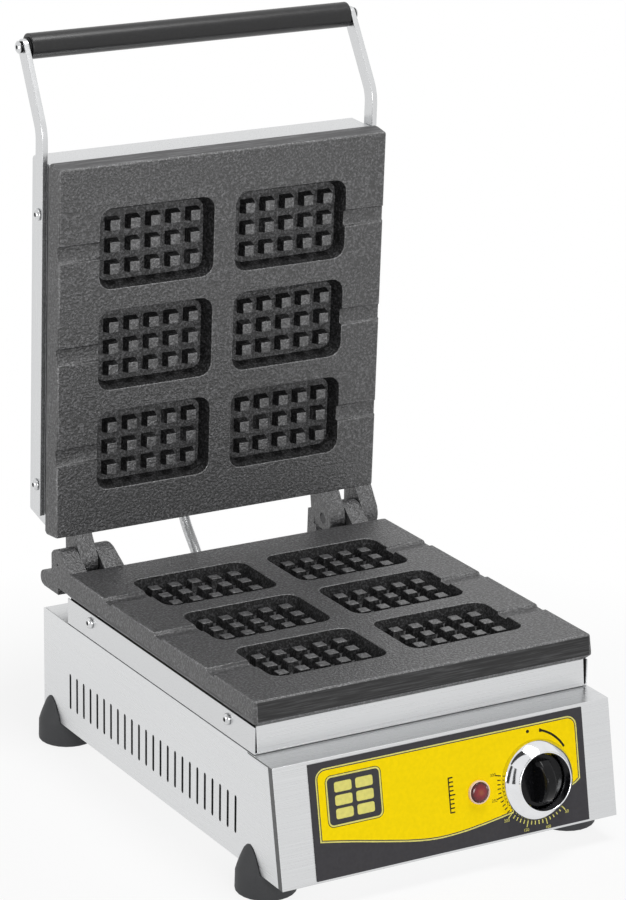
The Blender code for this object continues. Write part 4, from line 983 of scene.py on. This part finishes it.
class WAFFLE_OT_fasteners(bpy.types.Operator):
    """Add the socket screws of the tray, lid and bottom cover, and the grip's bolt, nut and washers"""
    bl_idname = "waffle.fasteners"
    bl_label = "Fasteners"

    def execute(self, context):
        sizes, colours = context.scene.waffle_sizes, context.scene.waffle_colours
        steel = polished_stainless(colours)
        recess = satin_moulding("socket_shadow", colours.black, roughness=0.55)
        for node, other in frame["nodes"].items():
            way = self.way_out(node)
            if way is None:
                continue
            low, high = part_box(node)
            axis = max(range(3), key=lambda i: abs(way[i]))
            across = [i for i in range(3) if i != axis]
            radius = (high - low)[across[0]] / 2
            tip = (low + high) / 2
            tip[axis] = high[axis] if way[axis] > 0 else low[axis]
            shape = bmesh.new()
            collar = grip_collar if node.startswith("grip") else 0.0
            if collar:
                radius *= grip_head_share
            length = (high - low)[axis]
            self.socket_head(shape, tip, Vector(way), radius, length, sizes.socket_width / 2, collar)
            body = other["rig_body"]
            piece(node + "_socket", shape, (steel, recess), body, (node,))
        clad([n for n in frame["nodes"] if n.endswith("clamp_screw")], steel)
        fibre = satin_moulding("black_fibre_washer", colours.black, roughness=0.65)
        clad(["grip_washer_left", "grip_washer_right"], fibre)
        return {"FINISHED"}

    def way_out(self, node):
        """Direction in which a screw's head faces, or None for another node."""
        if node.startswith(("tray_screw", "arm_screw")):
            return (-1, 0, 0) if node.endswith("left") else (1, 0, 0)
        if node.startswith("bottom_screw"):
            return (0, 0, -1)
        return {"grip_bolt": (-1, 0, 0), "grip_nut": (1, 0, 0)}.get(node)

    def socket_head(self, shape, tip, way, radius, length, half_flats, collar):
        """A low dome with a hexagonal socket painted black as shade, on a plain shank and where asked on a
        dark collar in the same black.
        """
        height = head_height if length > plain_head else length
        facing = Vector((0, 0, 1)).rotation_difference(way).to_matrix().to_4x4()
        place = Matrix.Translation(tip - way * height) @ facing

        def ring(size, level, six=False):
            points = []
            for i in range(small_steps):
                turn = 2 * math.pi * i / small_steps
                lean = (turn % (math.pi / 3)) - math.pi / 6
                reach = size / math.cos(lean) if six else size
                points.append(place @ Vector((reach * math.cos(turn), reach * math.sin(turn), level)))
            return points

        shank = [ring(radius * shank_share, level) for level in (height - length, 0) if length > height]
        rings = list(shank)
        if collar:
            rings += [ring(radius * grip_collar_share, level) for level in (0, collar)]
        rim = max(collar, height * head_rim_share) + head_rim_play
        brow = max(collar + head_brow_play, height * head_brow[1])
        rings += [ring(radius, collar), ring(radius, rim), ring(radius * head_brow[0], brow)]
        rings += [ring(radius * wide, height * high) for wide, high in head_dome]
        rings += [ring(half_flats * wide, height * high, True) for wide, high in socket_lip]
        rings.append(ring(half_flats, height - height * socket_depth_share, True))
        faces = loft(shape, rings)
        dark = faces[-2 - small_steps:-2] + faces[-1:]
        if collar:
            first = small_steps * len(shank)
            dark += faces[first:first + small_steps]
        for face in dark:
            face.material_index = socket_shade_slot


class WAFFLE_OT_handle(bpy.types.Operator):
    """Add the two handle arms and the satin grip tube"""
    bl_idname = "waffle.handle"
    bl_label = "Handle"

    def execute(self, context):
        sizes, colours = context.scene.waffle_sizes, context.scene.waffle_colours
        steel = brushed_stainless(colours, "brushed_flat_bar", Z, roughness=0.18)
        for node in ("handle_arm_left", "handle_arm_right"):
            refine(node, node + "_bar", (steel,), "lid", sizes.bar_edge)

        low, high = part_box("handle_grip")
        half = (high.x - low.x) / 2
        radius = (high.z - low.z) / 2
        profile = [(grip_bore, -half)]
        for end, first in ((-1, -1), (1, 0)):
            corner = (radius - grip_lip, end * (half - grip_lip))
            profile += arc(corner, grip_lip, first, first + 1, lip_steps)
        profile.append((grip_bore, half))
        place = Matrix.Translation((low + high) / 2) @ Matrix.Rotation(quarter, 4, "Y")
        satin = black_plastic("satin_black_phenolic", colours.grip, roughness=0.28, sheen=0.4)
        shape = turned(profile, round_steps, place)
        piece("handle_grip_tube", shape, (satin,), "lid", ("handle_grip",))
        return {"FINISHED"}


class WAFFLE_OT_feet(bpy.types.Operator):
    """Add the four rubber feet"""
    bl_idname = "waffle.feet"
    bl_label = "Rubber Feet"

    def execute(self, context):
        rubber = moulded_rubber(context.scene.waffle_colours)
        for node in [n for n in frame["nodes"] if n.startswith("foot_")]:
            refine(node, node + "_bell", (rubber,), "base", foot_edge)
        return {"FINISHED"}


class WAFFLE_OT_label(bpy.types.Operator):
    """Add the printed label with its yellow field, heating mark and dial scale"""
    bl_idname = "waffle.label"
    bl_label = "Control Label"

    def execute(self, context):
        sizes, colours = context.scene.waffle_sizes, context.scene.waffle_colours
        ground = printed_film("printed_charcoal", colours.label_ground)
        yellow = printed_film("printed_yellow", colours.label_field, colours.label_warm)
        stripe = printed_film("printed_cream", colours.label_stripe)
        ink = printed_film("printed_black", colours.label_ink)
        clad(["control_label"], ground)

        field = self.field_outline()
        plaque = rounded_outline(plaque_place, plaque_size, plaque_corner, corner_steps)
        line = sizes.stripe_width
        prints = (
            ("field_stripe", field, 0.0, stripe_layer, stripe),
            ("field_gap", field, line, gap_layer, ground),
            ("field_yellow", field, line * field_inset_share, field_layer, yellow),
            ("plaque_edge", plaque, 0.0, mark_layer, ink),
            ("plaque_stripe", plaque, line * plaque_edge_share, line_layer, stripe),
            ("plaque_ground", plaque, line * field_inset_share, plaque_layer, ground),
        )
        for name, outline, margin, layer, material in prints:
            self.film("label_" + name, [inset(outline, margin) if margin else outline], layer, material)
        self.waffle_mark(stripe)
        self.heating_mark(ink)
        self.dial_scale(field, ink, stripe)
        return {"FINISHED"}

    def film(self, name, outlines, layer, material):
        """Lay printed shapes on the label; outlines are across and up from the top fold's middle."""
        shape = bmesh.new()
        low = label_face + layer * print_layer
        for outline in outlines:
            loft(shape, [[dial_frame @ Vector((x - knob_across, y + knob_down, z)) for x, y in outline]
                         for z in (low, low + print_layer)])
        piece(name, shape, (material,), "base")

    def field_outline(self):
        """Outline of the field: round upper corners, a sagging lower edge that rises to the right."""
        points = smooth_line([(x * mm, y * mm) for x, y in field_low_edge], field_steps)
        for turn, corner in enumerate((field_right - field_corner, field_left + field_corner)):
            points += arc((corner, field_top - field_corner), field_corner, turn, turn + 1, corner_steps)
        return points

    def waffle_mark(self, material):
        """A plain pictogram of six waffle pockets in the plaque."""
        cells = []
        for column in (-1, 1):
            for row in (-1, 0, 1):
                place = (plaque_place[0] + column * cell_step[0], plaque_place[1] + row * cell_step[1])
                cells.append(rounded_outline(place, cell_size, cell_corner, cell_steps))
        self.film("label_waffle_mark", cells, pocket_layer, material)

    def heating_mark(self, material):
        """The comb-shaped scale beside the lamp: a spine with nine teeth, the middle one longer."""
        pitch = (comb_top - comb_bottom - comb_line) / (comb_teeth - 1)
        bars = [(comb_left, comb_bottom, comb_left + comb_line, comb_top)]
        for i in range(comb_teeth):
            low = comb_bottom + i * pitch
            reach = comb_long if i == comb_teeth // 2 else comb_short
            bars.append((comb_left + comb_line - comb_lap, low, comb_left + reach, low + comb_line))
        outlines = [[(a, b), (c, b), (c, d), (a, d)] for a, b, c, d in bars]
        self.film("label_heating_mark", outlines, mark_layer, material)

    def dial_scale(self, field, ink, stripe):
        """Off dot, thick-headed wedge, ticks and temperatures round the dial."""
        dot = circle((dot_across, -dot_down), dot_radius, small_steps)
        outer_edge, inner_edge = [], []
        for i in range(wedge_steps + 1):
            share = i / wedge_steps
            turn = wedge_start + (wedge_end - wedge_start) * share
            middle = wedge_radius - wedge_fall * share
            half = wedge_thickness / 2 if share > wedge_head_share else wedge_head / 2
            outer_edge.append(self.on_dial(turn, middle + half))
            inner_edge.append(self.on_dial(turn, middle - half))
        self.film("label_dial_dot", [dot, inner_edge + outer_edge[::-1]], mark_layer, ink)

        dark, pale = [], []
        for i in range(tick_count):
            turn = self.tick_turn(i)
            outer = tick_long if i % tick_group == 0 else tick_short
            side = Vector((math.cos(turn), -math.sin(turn))) * tick_half
            near, far = Vector(self.on_dial(turn, tick_foot)), Vector(self.on_dial(turn, outer))
            bar = [tuple(near - side), tuple(near + side), tuple(far + side), tuple(far - side)]
            (dark if self.inside(tuple(far), field) else pale).append(bar)
        self.film("label_dial_ticks_dark", dark, mark_layer, ink)
        self.film("label_dial_ticks_pale", pale, mark_layer, stripe)
        for i, figure in enumerate(figures):
            place = self.on_dial(self.tick_turn(i * tick_group), figure_radius)
            self.figure("label_dial_" + figure, figure, place, ink if self.inside(place, field) else stripe)

    def tick_turn(self, count):
        """The angle of a tick by its number, clockwise from the top."""
        return tick_start + (tick_end - tick_start) * count / (tick_count - 1)

    def on_dial(self, turn, radius):
        """A point round the dial, turned clockwise from the top."""
        return knob_across + radius * math.sin(turn), -knob_down + radius * math.cos(turn)

    def inside(self, point, outline):
        """Whether a point lies inside an outline."""
        x, y = point
        within = False
        for (ax, ay), (bx, by) in zip(outline, outline[1:] + outline[:1]):
            if (ay > y) != (by > y) and x < ax + (y - ay) / (by - ay) * (bx - ax):
                within = not within
        return within

    def figure(self, name, text, place, material):
        """One printed number of the scale, as thick as the marks' layer."""
        curve = bpy.data.curves.new(name, "FONT")
        curve.body = text
        curve.size = figure_height
        curve.align_x = "CENTER"
        curve.align_y = "CENTER"
        curve.extrude = print_layer / 2
        made = bpy.data.objects.new(name, curve)
        bpy.context.collection.objects.link(made)
        level = label_face + mark_layer * print_layer + curve.extrude
        spot = Matrix.Translation((place[0] - knob_across, place[1] + knob_down, level))
        made.matrix_world = dial_frame @ spot
        curve.materials.append(material)
        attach(made, "base")


class WAFFLE_OT_controls(bpy.types.Operator):
    """Add the chrome bezel, the winged knob and the lamp"""
    bl_idname = "waffle.controls"
    bl_label = "Knob and Lamp"

    def execute(self, context):
        colours = context.scene.waffle_colours
        self.bezel(chrome_plate(colours))
        self.knob(black_plastic("glossy_black_knob", colours.black, roughness=0.12, sheen=0.16))
        self.lamp(colours)
        clad(["lamp_body"], black_plastic("glossy_black_phenolic", colours.black))
        clad(["thermostat_shaft"], polished_stainless(colours, "turned_shaft"))
        return {"FINISHED"}

    def bezel(self, chrome):
        """Spun ring: a short skirt, a full swell and a rolled inner rim."""
        rise = bezel_height - bezel_lip - label_seat - bezel_skirt
        profile = [(bezel_bore, label_seat), (bezel_radius, label_seat)]
        for i in range(swell_steps):
            share = i / swell_steps
            profile.append((bezel_radius - (bezel_radius - bezel_rim) * share,
                            label_seat + bezel_skirt + rise * share ** swell_power))
        profile += arc((bezel_rim - bezel_lip, bezel_height - bezel_lip), bezel_lip, 0, 2, corner_steps)
        shape = turned(profile, fine_steps, dial_frame)
        piece("knob_bezel_ring", shape, (chrome,), "base", ("knob_bezel",))

    def knob(self, black):
        """Round disc with an upright arched wing across it."""
        profile = [(0, disc_seat), (disc_radius, disc_seat)]
        profile += arc((disc_radius - disc_edge, disc_top - disc_edge), disc_edge, 0, 1, lip_steps)
        profile.append((0, disc_top))
        shape = turned(profile, fine_steps, dial_frame)

        wing = bmesh.new()
        sections = [(wing_foot_width / 2, wing_flank_share)]
        shoulder = (wing_back_width / 2 - wing_round, wing_shoulder_share)
        sections += arc(shoulder, wing_round, 0, 1, wing_round_steps, rise=1 - wing_shoulder_share)
        sections = [(-across, share) for across, share in sections] + sections[::-1]
        loft(wing, [[dial_frame @ Vector((across, y, z)) for y, z in self.wing_outline(share)]
                    for across, share in sections])
        break_edges(wing, wing_edge)
        mesh = bpy.data.meshes.new("wing")
        wing.to_mesh(mesh)
        wing.free()
        shape.from_mesh(mesh)
        bpy.data.meshes.remove(mesh)
        piece("control_knob_wing", shape, (black,), "knob", ("control_knob",))

    def wing_outline(self, share):
        """Side outline of the wing at a share of its height: upright ends under an arched back."""
        half = wing_length / 2 * (1 - wing_taper * (1 - share))
        low = disc_top - wing_sink
        points = [(half, low)]
        for i in range(wing_arch_steps + 1):
            place = 1 - 2 * i / wing_arch_steps
            back = wing_end_height + (knob_height - wing_end_height) * (1 - place * place)
            points.append((half * place, low + (back - low) * share))
        points.append((-half, low))
        return points

    def lamp(self, colours):
        """Moulded ring and a domed red lens."""
        place = dial_frame @ Matrix.Translation((lamp_across - knob_across, 0, 0))
        profile = [(lamp_bore, label_seat), (lamp_radius, label_seat)]
        profile += arc((lamp_radius - lamp_round, lamp_height - lamp_round), lamp_round, 0, 1, lip_steps)
        profile += [(lamp_bore + lamp_bevel, lamp_height), (lamp_bore, lamp_height - lamp_sink)]
        nylon = satin_moulding("cream_nylon", colours.lamp_ring, roughness=0.27)
        shape = turned(profile, round_steps, place)
        piece("lamp_ring_moulding", shape, (nylon,), "base", ("lamp_bezel",))

        profile = [(0, label_seat), (lens_radius, label_seat)]
        dome = arc((0, lens_shoulder), lens_radius, 0, 1, lens_steps, rise=lens_height - lens_shoulder)
        profile += [*dome[:-1], (0, lens_height)]
        acrylic = acrylic_lens(colours, place @ Vector((0, 0, lens_height)), lens_radius)
        shape = turned(profile, round_steps, place)
        piece("lamp_lens_dome", shape, (acrylic,), "base", ("lamp_lens",))


class WAFFLE_OT_cable_ways(bpy.types.Operator):
    """Add the lid lead in its ribbed sleeve and give the three cable glands their finishes"""
    bl_idname = "waffle.cable_ways"
    bl_label = "Cable Ways"

    def execute(self, context):
        sizes, colours = context.scene.waffle_sizes, context.scene.waffle_colours
        clad(["conduit_gland_base", "conduit_gland_lid"], chrome_plate(colours))
        clad(["inlet_gland"], black_plastic("glossy_black_phenolic", colours.black))
        steel = drawn_tube("corrugated_steel_tube", shade(colours.steel, sleeve_share), roughness=0.3)
        self.lid_lead(sizes.sleeve_rib, steel)
        return {"FINISHED"}

    def lid_lead(self, rib, steel):
        """Ribbed sleeve that hangs between the deck and the lid."""
        low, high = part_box("conduit_gland_base")
        deck = Vector(((low.x + high.x) / 2, (low.y + high.y) / 2, high.z - gland_height))
        base_way = Vector((0, 0, 1))
        cover_lean = math.atan2(cover_fall, cover_run)
        lid_way = (lid_turn @ Vector((0, math.cos(cover_lean), math.sin(cover_lean)))).normalized()
        low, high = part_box("conduit_gland_lid")
        socket = (low + high) / 2
        first = deck + base_way * (gland_height + gland_gap)
        last = socket + lid_way * (gland_height / 2 + gland_gap)
        handles = (first, first + base_way * lead_pull / 3, last + lid_way * lead_pull / 3, last)
        route = [bezier(handles, i / lead_steps) for i in range(lead_steps + 1)]
        route = [deck - base_way * lead_sink, *route, socket - lid_way * lead_sink]

        dense = []
        for here, there in zip(route, route[1:]):
            steps = max(1, round((there - here).length / (rib / rib_steps)))
            dense += [here.lerp(there, i / steps) for i in range(steps)]
        dense.append(route[-1])
        rings, run = [], 0.0
        right = Vector((1, 0, 0))
        for i, point in enumerate(dense):
            run += (point - dense[i - 1]).length if i else 0.0
            ahead = (dense[min(i + 1, len(dense) - 1)] - dense[max(i - 1, 0)]).normalized()
            across = (right - ahead * right.dot(ahead)).normalized()
            up = ahead.cross(across)
            size = lead_radius * (1 - rib_depth_share * (1 - math.cos(2 * math.pi * run / rib)) / 2)
            rings.append([point + across * x + up * y for x, y in circle((0, 0), size, lead_sides)])
        shape = bmesh.new()
        loft(shape, rings)
        made = piece("lid_lead_sleeve", shape, (steel,), None, ("lid_conduit",))
        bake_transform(made)


class WAFFLE_OT_inner_parts(bpy.types.Operator):
    """Give the heaters, boards, clamps, pins and wiring parts inside their finishes"""
    bl_idname = "waffle.inner_parts"
    bl_label = "Inner Parts"

    def execute(self, context):
        colours = context.scene.waffle_colours
        finishes = (
            ("hinge_pin_left hinge_pin_right",
             drawn_tube("blackened_steel_pin", colours.ground_edge, roughness=0.45)),
            ("lower_heating_element upper_heating_element",
             drawn_tube("heater_sheath", colours.heater, roughness=0.45)),
            ("lower_element_clamp upper_element_clamp", brushed_stainless(colours, "clamp_strap", X)),
            ("lower_insulation upper_insulation", wool_board(colours)),
            ("thermostat_bulb", drawn_tube("copper_bulb", colours.copper, roughness=0.25)),
            ("thermostat_body", satin_moulding("moulded_thermostat", colours.ceramic, roughness=0.4)),
            ("terminal_block", satin_moulding("glazed_terminal_block", colours.ceramic, roughness=0.25)),
        )
        for nodes, material in finishes:
            clad(nodes.split(), material)
        return {"FINISHED"}


class WAFFLE_PT_maker(bpy.types.Panel):
    """Lists the pieces of the waffle maker"""
    bl_idname = "WAFFLE_PT_maker"
    bl_label = "Waffle Stick Maker"
    bl_space_type = "VIEW_3D"
    bl_region_type = "UI"
    bl_category = "Waffle Maker"

    def draw(self, context):
        layout = self.layout
        for operator in operators:
            layout.operator(operator.bl_idname)
        for group in (context.scene.waffle_sizes, context.scene.waffle_colours):
            box = layout.box()
            for name in group.__annotations__:
                box.prop(group, name)


operators = (
    WAFFLE_OT_stage, WAFFLE_OT_cast_plates, WAFFLE_OT_sheet_metal, WAFFLE_OT_fasteners, WAFFLE_OT_handle,
    WAFFLE_OT_feet, WAFFLE_OT_label, WAFFLE_OT_controls, WAFFLE_OT_cable_ways, WAFFLE_OT_inner_parts,
)
classes = (WaffleSizes, WaffleColours, *operators, WAFFLE_PT_maker)


def register():
    """Register the classes and the two groups of settings."""
    for made in classes:
        bpy.utils.register_class(made)
    bpy.types.Scene.waffle_sizes = bpy.props.PointerProperty(type=WaffleSizes)
    bpy.types.Scene.waffle_colours = bpy.props.PointerProperty(type=WaffleColours)


def unregister():
    """Take the settings and the classes out again."""
    del bpy.types.Scene.waffle_colours
    del bpy.types.Scene.waffle_sizes
    for made in reversed(classes):
        bpy.utils.unregister_class(made)


def main():
    """Build every piece in order."""
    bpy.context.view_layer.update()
    register()
    bpy.ops.waffle.stage()
    bpy.ops.waffle.cast_plates()
    bpy.ops.waffle.sheet_metal()
    bpy.ops.waffle.fasteners()
    bpy.ops.waffle.handle()
    bpy.ops.waffle.feet()
    bpy.ops.waffle.label()
    bpy.ops.waffle.controls()
    bpy.ops.waffle.cable_ways()
    bpy.ops.waffle.inner_parts()
    bpy.context.view_layer.update()


if __name__ == "__main__":
    main()
